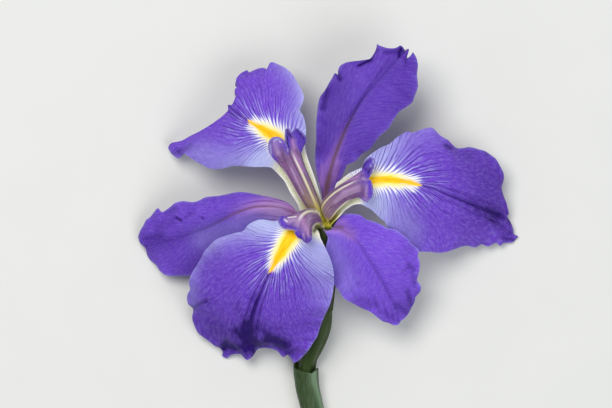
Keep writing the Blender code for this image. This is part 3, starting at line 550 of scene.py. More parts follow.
# Stamens: start of the filament, start of the anther, tip
STAMENS = {
    "stamen_right": ((8.4, 7.6, 35.3), (11.0, 9.6, 36.9), (17.0, 10.8, 37.8)),
    "stamen_upper_left": ((-5.3, 11.0, 34.1), (-7.3, 15.5, 35.4), (-10.4, 21.4, 36.1)),
    "stamen_lower": ((-3.4, -0.4, 36.9), (-5.4, -0.8, 38.4), (-9.0, -3.0, 39.9)),
}
# Radii where the filament starts and ends and along the anther, and where those places lie, as shares of
# the filament and the anther
STAMEN_RADII = (0.4, 0.35, 0.65, 0.65, 0.5, 0.25)
FILAMENT_END = 0.9
ANTHER_SHARES = (0.12, 0.5, 0.9, 1.0)

# Stem, ovary and tube: middle line and radius at each place
STEM_LINE = (
    (7.6, -125.0, 3.2),
    (5.0, -105.0, 3.95),
    (1.8, -85.0, 3.9),
    (-2.1, -66.0, 4.0),
    (-4.35, -56.5, 4.4),
)
STEM_RADII = (3.2, 2.5, 2.5, 2.45, 2.2)
OVARY_LINE = (
    (-4.4, -56.2, 4.5),
    (-4.6, -50.0, 5.6),
    (-2.9, -42.5, 8.0),
    (-0.6, -36.0, 10.8),
    (1.3, -29.9, 13.6),
)
OVARY_RADII = (2.2, 2.4, 4.0, 4.2, 3.0)
TUBE_LINE = (
    (1.42, -30.2, 13.65),
    (2.6, -23.0, 16.6),
    (3.2, -14.0, 21.3),
    (2.5, -7.5, 25.0),
    (1.55, -2.25, 29.4),
)
TUBE_RADII = (2.9, 2.5, 2.4, 2.6, 3.15)
# Between these rows of the picture the heart's yellow green gives way to the dark gap under it, where the
# tube keeps its painted shade
GAP_TOP_PIXELS = (225.0, 228.5)

# Sheath leaves: middle line, radius, and the angles of the edges round it, from the right over the top
OUTER_BRACT = (
    (5.8, -111.0, 3.9, 3.45, -20, 185),
    (3.5, -95.0, 3.9, 3.45, -20, 185),
    (0.0, -76.0, 4.0, 3.45, -20, 185),
    (-2.8, -63.0, 4.3, 3.5, -20, 185),
    (-4.25, -56.5, 4.85, 3.65, -20, 185),
    (-4.7, -50.0, 5.6, 3.85, -20, 185),
)
INNER_BRACT = (
    (5.8, -111.0, 4.0, 3.6, 199, 326),
    (3.5, -95.0, 4.0, 3.5, 199, 326),
    (0.0, -76.0, 4.0, 3.5, 199, 326),
    (-2.8, -63.0, 4.3, 3.6, 199, 326),
    (-4.25, -56.5, 4.8, 3.8, 201, 325),
    (-4.8, -50.0, 5.4, 4.1, 203, 322),
    (-3.0, -42.5, 7.8, 5.2, 228, 300),
    (-1.2, -36.5, 10.2, 5.4, 252, 276),
)
# The slanting rims of the sheath leaves: places across a leaf, from -1 at its left to 1 at its right, and how
# far the rim is lowered there, as shares of the leaf's dip
BRACT_RIM = ((-1.0, 0.5, 1.0), (0.0, 1.0, 0.4))
# Where the lowering starts, as a share of the leaf's length
BRACT_DIP_START = 0.86
# How far a leaf's outer face lies outside its radius in mm, and how many ribs it has and how high they are
BRACT_OUTWARDS = 0.3
BRACT_RIBS = 11
BRACT_RIB_HEIGHT = 0.05
# Each sheath leaf: its stations, its rows of mesh points and the dip of its rim
BRACTS = {
    "spathe_bract_outer": (OUTER_BRACT, 150, 1.9),
    "spathe_bract_inner": (INNER_BRACT, 180, 0.0),
}
BRACT_COLUMNS = 70

# Mesh points: rows along and columns across or round
ARM_MESH = (96, 64)
ANTHER_MESH = (40, 24)
POD_MESH = (90, 96)
TUBE_MESH = (90, 72)
STEM_MESH = (150, 64)

# The rings that close a round piece: share of the end's radius, and how far out they lie as a share of it
CAP_RIM = ((0.97, 0.03), (0.9, 0.04))
CAP_FACE = ((0.6, 0.04), (0.3, 0.04), (0.0, 0.04))
STEM_CUT_BULGE = -0.12
MERGE_DISTANCE = 0.000002

# The studio: places and sizes in metres, power in watts
LIGHTS = {
    "key": dict(at=(-0.3, 0.42, 1.1), size=0.7, power=10.5, colour=(1.0, 0.985, 0.96)),
    "fill": dict(at=(0.5, -0.4, 1.1), size=0.9, power=6.0, colour=(0.94, 0.97, 1.0)),
}
LIGHT_TARGET = (HEART[0] * MM, HEART[1] * MM, 0.02)
STUDIO_COLOUR = (0.80, 0.84, 0.90, 1)
STUDIO_STRENGTH = 0.42
FLOOR_RADIUS = 3.0
FLOOR_ROUGHNESS = 0.8
CAMERA_CLIP_END = 20


def linear(red, green, blue):
    """A colour given as screen values from 0 to 255, as the linear values that a shader takes."""
    values = np.array((red, green, blue)) / 255
    return tuple(np.where(values <= 0.04045, values / 12.92, ((values + 0.055) / 1.055) ** 2.4))


def colour_property(name, description, *screen_values):
    """A colour that a user would change, given as screen values from 0 to 255."""
    start = linear(*screen_values)
    return bpy.props.FloatVectorProperty(
        name=name, description=description, default=start, subtype="COLOR", size=3, min=0, max=1
    )


def size_property(name, description, default):
    """A size in millimetres that a user would change."""
    return bpy.props.FloatProperty(name=name, description=description, default=default, min=0.01, unit="NONE")


class IrisSizes(bpy.types.PropertyGroup):
    """Sizes that a user would change, in millimetres."""

    petal_thickness: size_property("Petal thickness", "Thickness of a petal in mm", 0.4)
    style_thickness: size_property("Style thickness", "Thickness of a style arm in mm", 0.5)
    bract_thickness: size_property("Sheath thickness", "Thickness of a sheath leaf in mm", 0.6)
    petal_spacing: size_property("Petal mesh", "Distance between a petal's mesh points in mm", 0.42)
    crimp_height: size_property("Edge crimp", "Height of the fine waves along a petal's edge in mm", 0.35)
    pleat_height: size_property("Vein pleats", "Height of the fine pleats along a petal's veins in mm", 0.025)


class IrisColours(bpy.types.PropertyGroup):
    """Colours that a user would change."""

    violet: colour_property("Violet", "Blade of a fall", 111, 60, 200)
    standard: colour_property("Standard", "Blade of a standard", 112, 63, 203)
    # lavender is also the painted light of the petals' lavender marks and a painted highlight on the style
    # arms
    lavender: colour_property("Lavender", "Pale margins near a claw", 188, 194, 240)
    # indigo also carries painted shade: the dents' darkness and a fall's curved-down end
    indigo: colour_property("Indigo", "Dark tips and midlines", 32, 0, 94)
    vein: colour_property("Vein", "Fine dark veins", 72, 36, 150)
    # white is also the painted glints on the style arms
    white: colour_property("White", "Rays round the signal", 246, 242, 240)
    gold: colour_property("Gold", "The signal", 255, 206, 26)
    amber: colour_property("Amber", "Streaks in the signal", 246, 178, 8)
    butter: colour_property("Butter", "The signal's pale flanks", 252, 236, 140)
    cream: colour_property("Cream", "Keels, claws and style edges", 226, 220, 186)
    leek: colour_property("Leek", "Green mottle of the claws", 196, 200, 158)
    mauve: colour_property("Mauve", "Panels of the style arms", 132, 99, 142)
    # plum also carries painted shade in the arms' grooves, in the crests' hoods and in a standard's midrib
    # channel
    plum: colour_property("Plum", "Streaks of the style arms", 104, 66, 110)
    tan: colour_property("Tan", "Keels of the style arms near the heart", 192, 166, 102)
    dun: colour_property("Dun", "Panels of the style arms near the heart", 140, 118, 88)
    # blush is a painted highlight on the style arms
    blush_highlight: colour_property("Blush", "Pale streaks of the style arms", 188, 156, 194)
    blue: colour_property("Blue", "Blue violet patches of the crests", 82, 50, 184)
    pearl: colour_property("Pearl", "Upper ends of the keels", 228, 216, 228)
    olive: colour_property("Olive", "Lines in the heart", 164, 152, 40)
    rose: colour_property("Rose", "Middle of a standard near its base", 176, 128, 184)
    rib: colour_property("Rib", "Midrib of a standard", 112, 58, 112)
    umber: colour_property("Umber", "Root of a standard", 92, 62, 62)
    crest: colour_property("Crest", "Crests of the style arms", 112, 80, 176)
    heart: colour_property("Heart", "Yellow green where the petals join", 206, 198, 62)
    hollow: colour_property("Hollow", "Shaded green under the claws", 30, 36, 8)
    pod: colour_property("Pod", "The ribbed ovary", 48, 66, 24)
    stem: colour_property("Stem", "The cut stem", 78, 98, 48)
    sheath: colour_property("Sheath", "Bloom covered sheath leaves", 34, 54, 12)
    bloom: colour_property("Bloom", "Pale waxy bloom on the sheath", 112, 138, 108)
    pollen: colour_property("Pollen", "The anthers", 226, 206, 140)
    floor: colour_property("Floor", "The pale floor", 214, 214, 210)


def place(points):
    """Points in millimetres from the heart, in metres in the frame."""
    return (np.asarray(points, float) + HEART) * MM


def flat_place(pixels):
    """Where these pixels lie on the view plane, in millimetres from the heart."""
    return (np.asarray(pixels, float) - HEART_PIXEL) * PIXEL_STEP


def pixel_place(flat):
    """The pixels of these places on the view plane, which are in millimetres from the heart."""
    return HEART_PIXEL + flat * (1, -1) / MM_PER_PIXEL


def seen_at(pixels, height):
    """Where the camera sees these pixels at these heights, in millimetres from the heart."""
    scale = (CAMERA_HEIGHT - height) / (CAMERA_HEIGHT - VIEW_PLANE)
    return VIEW_MIDDLE + (flat_place(pixels) - VIEW_MIDDLE) * scale[..., None]


def pixels_of(points):
    """The pixels at which the camera sees these points, which are in millimetres from the heart."""
    scale = (CAMERA_HEIGHT - points[..., 2:3]) / (CAMERA_HEIGHT - VIEW_PLANE)
    return pixel_place(VIEW_MIDDLE + (points[..., :2] - VIEW_MIDDLE) / scale)


def bell(distance, width):
    """1 in the middle, and less and less away from it."""
    return np.exp(-((distance / width) ** 2))


def soft_step(low, high, value):
    """0 below low, 1 above high, and smooth between them."""
    share = np.clip((value - low) / (high - low), 0, 1)
    return share * share * (3 - 2 * share)


def dent_shape(points, dent):
    """How much each point belongs to a dent or mark between two pixels, from 0 to 1."""
    start, end, half_width = np.array(dent[:2]), np.array(dent[2:4]), dent[4]
    offset = pixels_of(points) - start
    share = np.clip((offset @ (end - start)) / ((end - start) @ (end - start)), 0, 1)
    away = np.linalg.norm(offset - share[..., None] * (end - start), axis=-1) * MM_PER_PIXEL
    return bell(away, half_width)


def press(points, masks, dark_mask, shape, depth, darkness):
    """Presses a dent into the points and adds its darkness, painted shade, to a mask; a darkness below 0
    paints light.
    """
    points[..., 2] -= depth * shape
    masks[dark_mask] = np.clip(masks[dark_mask] + darkness * shape, 0, 1)


def mark_masks(points, marks, strengths):
    """Where the marks of each colour lie."""
    masks = {}
    for colour, strength in strengths.items():
        shapes = [dent_shape(points, segment) for named, *segment in marks if named == colour]
        masks["mark_" + colour] = strength * np.clip(sum(shapes, np.zeros(points.shape[:2])), 0, 1)
    return masks


def smooth_curve(points, samples=24):
    """Points along a smooth curve through the given ones, one after another."""
    points = np.asarray(points, float)
    known = np.concatenate([2 * points[:1] - points[1:2], points, 2 * points[-1:] - points[-2:-1]])
    p0, p1, p2, p3 = (known[k : len(known) - 3 + k][:, None] for k in range(4))
    u = np.linspace(0, 1, samples, endpoint=False).reshape((1, -1) + (1,) * (points.ndim - 1))
    bend = 2 * p0 - 5 * p1 + 4 * p2 - p3
    twist = 3 * p1 - p0 - 3 * p2 + p3
    curve = 0.5 * (2 * p1 + (p2 - p0) * u + bend * u**2 + twist * u**3)
    return np.concatenate([curve.reshape((-1,) + points.shape[1:]), points[-1:]])


def distances(curve):
    """The distance of each point of a curve from its start."""
    flat = np.asarray(curve, float).reshape(len(curve), -1)
    return np.concatenate([[0], np.cumsum(np.linalg.norm(np.diff(flat, axis=0), axis=1))])


def read_curve(curve, shares):
    """The points at these shares of a curve's length."""
    flat = curve.reshape(len(curve), -1)
    along = distances(curve)
    columns = [np.interp(np.asarray(shares) * along[-1], along, flat[:, k]) for k in range(flat.shape[1])]
    return np.stack(columns, axis=-1).reshape(np.shape(shares) + curve.shape[1:])


def mouth_point(radius, angle, sideways=0.0):
    """A point on the plane of the tube's mouth, at an angle in degrees and a distance to its left."""
    axis = Vector(MOUTH_LEAN).normalized()
    away = axis.cross(Vector((1, 0, 0))).normalized()
    right = away.cross(axis).normalized()
    turn = math.radians(angle)
    out = right * math.cos(turn) + away * math.sin(turn)
    left = away * math.cos(turn) - right * math.sin(turn)
    return tuple(Vector(MOUTH_CENTRE) + out * radius + left * sideways)


def across(middle, left, right, v):
    """Rows of points bowed from the right edge, v = -1, through the middle to the left edge, v = 1."""
    v = v[None, :, None]
    middle, left, right = middle[:, None], left[:, None], right[:, None]
    return middle + v * (left - right) / 2 + v**2 * ((left + right) / 2 - middle)


def fit_outline(points, left, right, shape, s, v, tip_start, sharpness):
    """Moves the edges of a grid of points to its outline, and what lies inside them by less and less."""
    for side, edge, pixels in ((1, left, shape["left_edge"]), (-1, right, shape["right_edge"])):
        line = smooth_curve((tuple(pixel_place(edge[0, :2])), *pixels), OUTLINE_SAMPLES)
        shares = distances(edge) / distances(edge)[-1]
        wanted = seen_at(read_curve(line, shares), edge[:, 2])
        pull = np.clip(v * side, 0, 1) ** sharpness
        points[..., :2] += pull[None, :, None] * (wanted - edge[:, :2])[:, None]
    tip = smooth_curve(shape["tip"], OUTLINE_SAMPLES)
    widths = distances(points[-1])
    wanted = seen_at(read_curve(tip, 1 - widths / widths[-1]), points[-1, :, 2])
    pull = soft_step(tip_start, 1.0, s) ** 2
    points[..., :2] += pull[:, None, None] * (wanted - points[-1, :, :2])[None]


def ruffle(points, waves, height, start, s, v):
    """Broad waves along both edges of a petal, which grow past its claw and end at its tip."""
    grown = np.clip((s - RUFFLE_START) / RUFFLE_GROWTH, 0, 1) * np.clip((1 - s) / RUFFLE_END, 0, 1)
    turn = 2 * math.pi * (waves * s[:, None] + start + RUFFLE_SIDE_SHIFT * (v > 0)[None])
    points[..., 2] += height * grown[:, None] * np.abs(v[None]) ** 3 * np.sin(turn)


def petal_points(petal, rows, columns):
    """The points of a petal's upper face: rows from claw to tip, columns from its right edge to its left."""
    angle = petal["angle"]
    base = tuple(mouth_point(PETAL_RING_RADIUS, angle + side * petal["grip"]) for side in (0, 1, -1))
    s = np.linspace(0, 1, rows + 1)
    v = np.linspace(-1, 1, columns + 1)
    lines = read_curve(smooth_curve((base, *petal["stations"]), STATION_SAMPLES), s)
    middle, left, right = lines[:, 0], lines[:, 1], lines[:, 2]
    points = across(middle, left, right, v)
    ruffle(points, *petal["ruffle"], s, v)
    fit_outline(points, left, right, petal, s, v, PETAL_TIP_START, PETAL_EDGE_SHARPNESS)
    return points


def add_hem(points, hem, rows):
    """More rows past the tip, which turn down."""
    if not hem:
        return points
    v = np.linspace(-1, 1, points.shape[1])
    left, middle, right = (np.array([offset]) for offset in hem)
    offsets = across(middle, left, right, v)[0]
    share = (np.arange(1, rows + 1) / rows)[:, None, None]
    drop = points[-1][None] + offsets[None] * share ** np.array(HEM_CURVE)
    return np.concatenate([points, drop])


def flat_map(points, root):
    """How far each point lies along a petal past the root, how far across it, and how far from its rim."""
    middle = points[:, points.shape[1] // 2]
    along = distances(middle)
    tangent = np.gradient(middle, axis=0)
    tangent /= np.linalg.norm(tangent, axis=1)[:, None]
    offset = points - middle[:, None]
    forward = (offset * tangent[:, None]).sum(-1)
    side = np.sign(np.linspace(-1, 1, points.shape[1]))
    sideways = np.sqrt(np.maximum((offset**2).sum(-1) - forward**2, 0)) * side[None]
    nearest = np.argmin(np.linalg.norm(middle[:, :2] - np.asarray(root), axis=1))
    steps = np.linalg.norm(np.diff(points, axis=1), axis=2)
    from_right = np.concatenate([np.zeros((len(points), 1)), np.cumsum(steps, axis=1)], axis=1)
    from_left = from_right[:, -1:] - from_right
    falls = np.linalg.norm(np.diff(points, axis=0), axis=2)
    from_base = np.concatenate([np.zeros((1, points.shape[1])), np.cumsum(falls, axis=0)], axis=0)
    rim = np.minimum(np.minimum(from_left, from_right), from_base[-1:] - from_base)
    return along[:, None] + forward - along[nearest], sideways, rim


def crimp(points, along, sideways, rim, height):
    """Fine waves along the rim, a few sizes on top of each other."""
    side = np.where(sideways > 0, CRIMP_SIDE_SHIFT, 0.0)
    wave = np.zeros_like(rim)
    for length, share, reach in CRIMP_WAVES:
        wave += share * np.exp(-rim / reach) * np.sin(2 * math.pi * along / length + side * length)
    points[..., 2] += height * wave * soft_step(2, 12, along)


def grid_piece(name, points, masks, finishes):
    """A mesh piece whose vertices lie at the points, with each mask kept as an attribute."""
    rows, columns = points.shape[0] - 1, points.shape[1] - 1
    bpy.ops.object.select_all(action="DESELECT")
    bpy.ops.mesh.primitive_grid_add(x_subdivisions=columns, y_subdivisions=rows, size=2, location=(0, 0, 0))
    piece = bpy.context.object
    piece.name = name
    mesh = piece.data
    mesh.name = name
    found = np.empty(len(mesh.vertices) * 3)
    mesh.vertices.foreach_get("co", found)
    found = found.reshape(-1, 3)
    if len(found) != (rows + 1) * (columns + 1):
        raise RuntimeError(f"{name}: the grid has {len(found)} points")
    row = np.rint((found[:, 1] + 1) / 2 * rows).astype(int)
    column = np.rint((1 - found[:, 0]) / 2 * columns).astype(int)
    mesh.vertices.foreach_set("co", place(points[row, column]).ravel())
    for mask, values in masks.items():
        kept = mesh.attributes.new(mask, "FLOAT", "POINT")
        kept.data.foreach_set("value", values[row, column].astype(np.float32))
    for finish in finishes:
        mesh.materials.append(finish)
    mesh.update()
    return piece


def thicken(piece, thickness):
    """Gives a sheet its thickness under its points; its lower face takes the second material."""
    shell = piece.modifiers.new("thickness", "SOLIDIFY")
    shell.thickness = thickness * MM
    shell.offset = -1.0
    shell.material_offset = 1
    bpy.context.view_layer.objects.active = piece
    bpy.ops.object.modifier_apply(modifier=shell.name)
    bpy.ops.object.shade_smooth_by_angle(angle=math.radians(SHEET_SHARP_ANGLE))


def hand_over(piece, node):
    """The piece rides on the flower and stands for its solid."""
    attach(piece, "root")
    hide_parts(node)


class Nodes:
    """Short words for adding linked shader nodes."""

    def __init__(self, tree):
        self.tree = tree

    def add(self, kind, **settings):
        node = self.tree.nodes.new(kind)
        for name, value in settings.items():
            setattr(node, name, value)
        return node

    def feed(self, socket, value):
        if isinstance(value, bpy.types.NodeSocket):
            self.tree.links.new(value, socket)
        elif socket.type == "RGBA":
            socket.default_value = (*value, 1)
        else:
            socket.default_value = value

    def math(self, operation, first, second=0.0, clamp=False):
        node = self.add("ShaderNodeMath", operation=operation, use_clamp=clamp)
        self.feed(node.inputs[0], first)
        self.feed(node.inputs[1], second)
        return node.outputs[0]

    def times(self, first, second):
        return self.math("MULTIPLY", first, second)

    def plus(self, first, second):
        return self.math("ADD", first, second)

    def minus(self, first, second):
        return self.math("SUBTRACT", first, second)

    def mix(self, share, first, second):
        node = self.add("ShaderNodeMix", data_type="RGBA")
        self.feed(node.inputs[0], share)
        self.feed(node.inputs[6], first)
        self.feed(node.inputs[7], second)
        return node.outputs[2]

    def blend(self, share, first, second):
        node = self.add("ShaderNodeMix", data_type="FLOAT")
        self.feed(node.inputs[0], share)
        self.feed(node.inputs[2], first)
        self.feed(node.inputs[3], second)
        return node.outputs[0]

    def step(self, value, low, high, start=0.0, end=1.0):
        """start below low, end above high, and smooth between them."""
        node = self.add("ShaderNodeMapRange", interpolation_type="SMOOTHSTEP")
        for socket, number in zip(node.inputs, (value, low, high, start, end)):
            self.feed(socket, number)
        return node.outputs[0]

    def attribute(self, name):
        return self.add("ShaderNodeAttribute", attribute_name=name).outputs["Fac"]

    def pair(self, x, y, z=0.0):
        node = self.add("ShaderNodeCombineXYZ")
        for socket, value in zip(node.inputs, (x, y, z)):
            self.feed(socket, value)
        return node.outputs[0]

    def noise(self, vector, scale=1.0, detail=1.0, roughness=0.5, dimensions="3D"):
        node = self.add("ShaderNodeTexNoise", noise_dimensions=dimensions)
        self.feed(node.inputs["Vector"], vector)
        self.feed(node.inputs["Scale"], scale)
        self.feed(node.inputs["Detail"], detail)
        self.feed(node.inputs["Roughness"], roughness)
        return node.outputs["Fac"]

    def streaks(self, across, along, fineness, drift, detail=2.0, roughness=0.5):
        """Flat noise drawn out one way: how fine it is across that way and how fast it changes along it."""
        where = self.pair(self.times(across, fineness), self.times(along, drift))
        return self.noise(where, detail=detail, roughness=roughness, dimensions="2D")

    def place(self):
        return self.add("ShaderNodeTexCoord").outputs["Object"]

    def group(self, tree, **inputs):
        node = self.add("ShaderNodeGroup", node_tree=tree)
        for name, value in inputs.items():
            self.feed(node.inputs[name], value)
        return node.outputs

    def bump(self, height, strength, distance):
        node = self.add("ShaderNodeBump")
        self.feed(node.inputs["Height"], height)
        self.feed(node.inputs["Strength"], strength)
        self.feed(node.inputs["Distance"], distance * MM)
        return node.outputs["Normal"]


def node_group(name, inputs, outputs):
    """An empty shader group with these numbers going in and out; returns it with its nodes and its ends."""
    tree = bpy.data.node_groups.new(name, "ShaderNodeTree")
    for label in inputs:
        tree.interface.new_socket(label, in_out="INPUT", socket_type="NodeSocketFloat")
    for label in outputs:
        tree.interface.new_socket(label, in_out="OUTPUT", socket_type="NodeSocketFloat")
    nodes = Nodes(tree)
    return tree, nodes, nodes.add("NodeGroupInput").outputs, nodes.add("NodeGroupOutput").inputs


def wandering(n, vein, flow):
    """A vein's number, drawn a little aside by slow noise along it."""
    number = vein
    for fineness, drift, strength in ((0.7, 0.06, 0.7), (1.7, 0.45, 0.16)):
        wander = n.minus(n.streaks(vein, flow, fineness, drift), 0.5)
        number = n.plus(number, n.times(wander, strength))
    return number


def veins_group():
    """Branching veins: a vein's number and the way along it give thin lines and the gaps between them."""
    tree = bpy.data.node_groups.get("petal_veins")
    if tree:
        return tree
    made_of = ("Lines", "Rays", "Tone", "Fibre")
    tree, n, given, made = node_group("petal_veins", ("Vein", "Flow", "Near", "Far"), made_of)
    number = wandering(n, given["Vein"], given["Flow"])
    near = n.step(given["Flow"], n.times(given["Near"], 0.6), given["Near"])
    far = n.step(given["Flow"], n.times(given["Far"], 0.6), given["Far"])
    lines = None
    gap = None
    for times, share in ((1.0, None), (2.0, near), (4.0, far)):
        phase = n.math("FRACT", n.times(number, times))
        away = n.times(n.math("ABSOLUTE", n.minus(phase, 0.5)), 2.0)
        line = n.step(away, 0.68, 1.0)
        gap_here = n.step(away, 0.95, 0.1)
        if share is None:
            lines, gap = line, gap_here
        else:
            lines = n.math("MAXIMUM", lines, n.times(line, n.times(share, 0.8)))
            gap = n.blend(share, gap, gap_here)
    tone = n.streaks(number, given["Flow"], 2.3, 0.16)
    n.feed(made["Fibre"], n.streaks(number, given["Flow"], 5.0, 0.45, roughness=0.6))
    n.feed(made["Lines"], n.times(lines, n.step(tone, 0.28, 0.60, 0.15, 1.0)))
    n.feed(made["Rays"], gap)
    n.feed(made["Tone"], tone)
    return tree


def grain_group():
    """The fine velvet of a petal: a mottle of cells and a slow change of depth."""
    tree = bpy.data.node_groups.get("petal_grain")
    if tree:
        return tree
    tree, n, given, made = node_group("petal_grain", ("Size",), ("Cells", "Drift"))
    where = n.place()
    n.feed(made["Cells"], n.noise(where, n.math("DIVIDE", 1000.0, given["Size"]), 2.0))
    n.feed(made["Drift"], n.noise(where, 70.0, 2.0))
    return tree


def finish(name, specular=0.35):
    """A new material; returns it with its nodes and its shader."""
    made = bpy.data.materials.new(name)
    made.use_nodes = True
    shader = made.node_tree.nodes["Principled BSDF"]
    shader.inputs["Specular IOR Level"].default_value = specular
    return made, Nodes(made.node_tree), shader


def petal_surface(n, shader, colour, lines, cells, depth):
    """Colour, roughness and fine relief that every petal has."""
    n.feed(shader.inputs["Base Color"], colour)
    n.feed(shader.inputs["Roughness"], n.step(cells, 0.3, 0.7, 0.48, 0.66))
    height = n.minus(n.times(cells, 0.4), n.times(lines, 0.8))
    n.feed(shader.inputs["Normal"], n.bump(height, 0.5, depth))


def velvet(n, colours, colour, fibre, cells):
    """A petal's colour with short pale and dark fibres along its veins and a fine mottle."""
    colour = n.mix(n.times(n.step(cells, 0.35, 0.70), 0.08), colour, colours.lavender)
    colour = n.mix(n.times(n.step(fibre, 0.45, 0.72), 0.11), colour, colours.lavender)
    return n.mix(n.times(n.step(fibre, 0.52, 0.28), 0.12), colour, colours.indigo)


def fall_blade(n, colours, veins, grain):
    """The violet of a fall with its pale margins, its fibres, the gleam near its signal and its veins."""
    colour = n.mix(n.attribute("pale"), colours.violet, colours.lavender)
    colour = velvet(n, colours, colour, veins["Fibre"], grain["Cells"])
    gleam = n.times(n.step(veins["Rays"], 0.3, 0.9), n.step(veins["Tone"], 0.38, 0.62))
    colour = n.mix(n.times(gleam, n.attribute("glow")), colour, colours.lavender)
    return n.mix(n.times(veins["Lines"], n.attribute("etch")), colour, colours.vein)


def fall_halo(n, colours, colour, veins, drift):
    """The white rays round the signal, the dark midline, the dark tip with painted shade where it curves down
    and in its dents, and the veins that cross the rays.
    """
    grained = n.times(n.attribute("deep_and_shade"), n.step(veins["Fibre"], 0.35, 0.65, 1.06, 0.9))
    deep_and_shade = n.math("ADD", grained, n.times(drift, 0.08), clamp=True)
    reach = n.times(n.minus(veins["Tone"], 0.5), 1.1)
    fringe = n.times(n.minus(veins["Rays"], 0.6), 0.6)
    halo = n.plus(n.attribute("halo"), n.plus(reach, fringe))
    colour = n.mix(n.times(n.step(halo, -0.25, 0.5), 0.7), colour, colours.lavender)
    colour = n.mix(n.step(halo, 0.22, 0.75), colour, colours.white)
    # painted shade from the dents and the curved-down end, with the dark midline
    colour = n.mix(deep_and_shade, colour, colours.indigo)
    dark = n.times(n.step(n.attribute("halo"), 0.95, 0.45), n.attribute("etch"))
    return n.mix(n.times(veins["Lines"], dark), colour, colours.vein)


def fall_claw(n, colours, colour, cells):
    """The cream claw of a fall, mottled with green, and the yellow green heart, with the painted light of the
    lavender marks and the painted shade of the hollow marks.
    """
    colour = n.mix(n.attribute("mark_lavender"), colour, colours.lavender)
    claw = n.mix(n.step(cells, 0.40, 0.62), colours.leek, colours.cream)
    colour = n.mix(n.attribute("claw"), colour, n.mix(n.attribute("lip"), claw, colours.white))
    colour = n.mix(n.attribute("heart"), colour, colours.heart)
    return n.mix(n.attribute("mark_hollow"), colour, colours.hollow)


def fall_signal(n, colours, colour):
    """The golden signal with its amber streaks, frayed edge and pale flanks."""
    streak = n.streaks(n.attribute("side"), n.attribute("along"), 2.4, 0.22)
    edge = n.plus(n.attribute("gold"), n.times(n.minus(streak, 0.5), 1.6))
    colour = n.mix(n.times(n.step(edge, -2.2, -0.2), n.attribute("flank")), colour, colours.butter)
    gold = n.mix(n.step(streak, 0.30, 0.62), colours.amber, colours.gold)
    return n.mix(n.step(edge, -0.5, 0.4), colour, gold)


def petal_veins(n, branches):
    """The veins of a petal, which branch at these two distances in mm from where they start."""
    near, far = branches
    return n.group(veins_group(), Vein=n.attribute("vein"), Flow=n.attribute("flow"), Near=near, Far=far)


def fall_finish(colours):
    """The upper face of a fall: violet with branching veins, a white halo and a yellow signal."""
    made, n, shader = finish("fall_upper", specular=0.14)
    veins = petal_veins(n, FALL_BRANCHES)
    grain = n.group(grain_group(), Size=PETAL_GRAIN)
    colour = fall_blade(n, colours, veins, grain)
    colour = fall_halo(n, colours, colour, veins, n.step(grain["Drift"], 0.3, 0.7))
    colour = fall_claw(n, colours, colour, grain["Cells"])
    colour = fall_signal(n, colours, colour)
    lines = n.times(veins["Lines"], n.attribute("etch"))
    petal_surface(n, shader, colour, lines, grain["Cells"], UPPER_RELIEF)
    return made


def standard_finish(colours):
    """The upper face of a standard: violet with fine slanting veins, a rose base and a plum midrib, with
    painted shade in its groove and dents and painted light and shade from its marks.
    """
    made, n, shader = finish("standard_upper", specular=0.14)
    veins = petal_veins(n, STANDARD_BRANCHES)
    grain = n.group(grain_group(), Size=PETAL_GRAIN)
    lines = n.times(veins["Lines"], n.step(grain["Drift"], 0.35, 0.65, 0.15, 0.50))
    lines = n.times(lines, n.attribute("fine"))
    colour = velvet(n, colours, colours.standard, veins["Fibre"], grain["Cells"])
    colour = n.mix(n.attribute("pale"), colour, colours.lavender)
    colour = n.mix(lines, colour, colours.vein)
    colour = n.mix(n.times(n.step(grain["Drift"], 0.35, 0.7), 0.10), colour, colours.indigo)
    streak = n.streaks(n.attribute("side"), n.attribute("along"), 1.3, 0.05, detail=3.0)
    tint = n.mix(n.step(streak, 0.30, 0.52), colours.rib, colours.rose)
    # painted shade of the groove and dents, on top of the blade's deeper colour
    colour = n.mix(n.attribute("deep_and_shade"), colour, colours.indigo)
    colour = n.mix(n.attribute("base"), colour, tint)
    rib = n.mix(n.attribute("brown"), colours.rib, colours.umber)
    colour = n.mix(n.attribute("rib"), colour, rib)
    # lavender marks paint light, and the plum and umber marks partly paint shade
    for mark in PETAL_MARKS:
        colour = n.mix(n.attribute("mark_" + mark), colour, getattr(colours, mark))
    colour = n.mix(n.attribute("heart"), colour, colours.umber)
    petal_surface(n, shader, colour, lines, grain["Cells"], UPPER_RELIEF)
    return made


def petal_back_finish(colours):
    """The lower face of the petals: duller and paler, with the veins showing, and painted shade near the
    heart.
    """
    made, n, shader = finish("petal_lower", specular=0.2)
    veins = petal_veins(n, BACK_BRANCHES)
    grain = n.group(grain_group(), Size=PETAL_GRAIN)
    colour = n.mix(0.25, colours.violet, colours.lavender)
    colour = n.mix(n.times(veins["Lines"], 0.45), colour, colours.vein)
    colour = n.mix(n.attribute("back_rib"), colour, colours.heart)
    colour = n.mix(n.attribute("claw"), colour, colours.cream)
    # painted shade on the lower faces near the heart
    colour = n.mix(n.step(n.attribute("heart"), 0.0, 0.6), colour, colours.hollow)
    petal_surface(n, shader, colour, veins["Lines"], grain["Cells"], LOWER_RELIEF)
    return made


def spear(along, sideways, length, root_width, tip_width):
    """How far inside the signal each point is, in mm; it is below 0 outside."""
    share = np.clip(along / length, 0, 1)
    width = root_width + (tip_width - root_width) * share
    rounding = np.sqrt(1 - share**6)
    inside = width * rounding - np.abs(sideways)
    past_tip = np.hypot(np.maximum(along - length, 0), sideways)
    return np.where(along > length, -past_tip, inside)


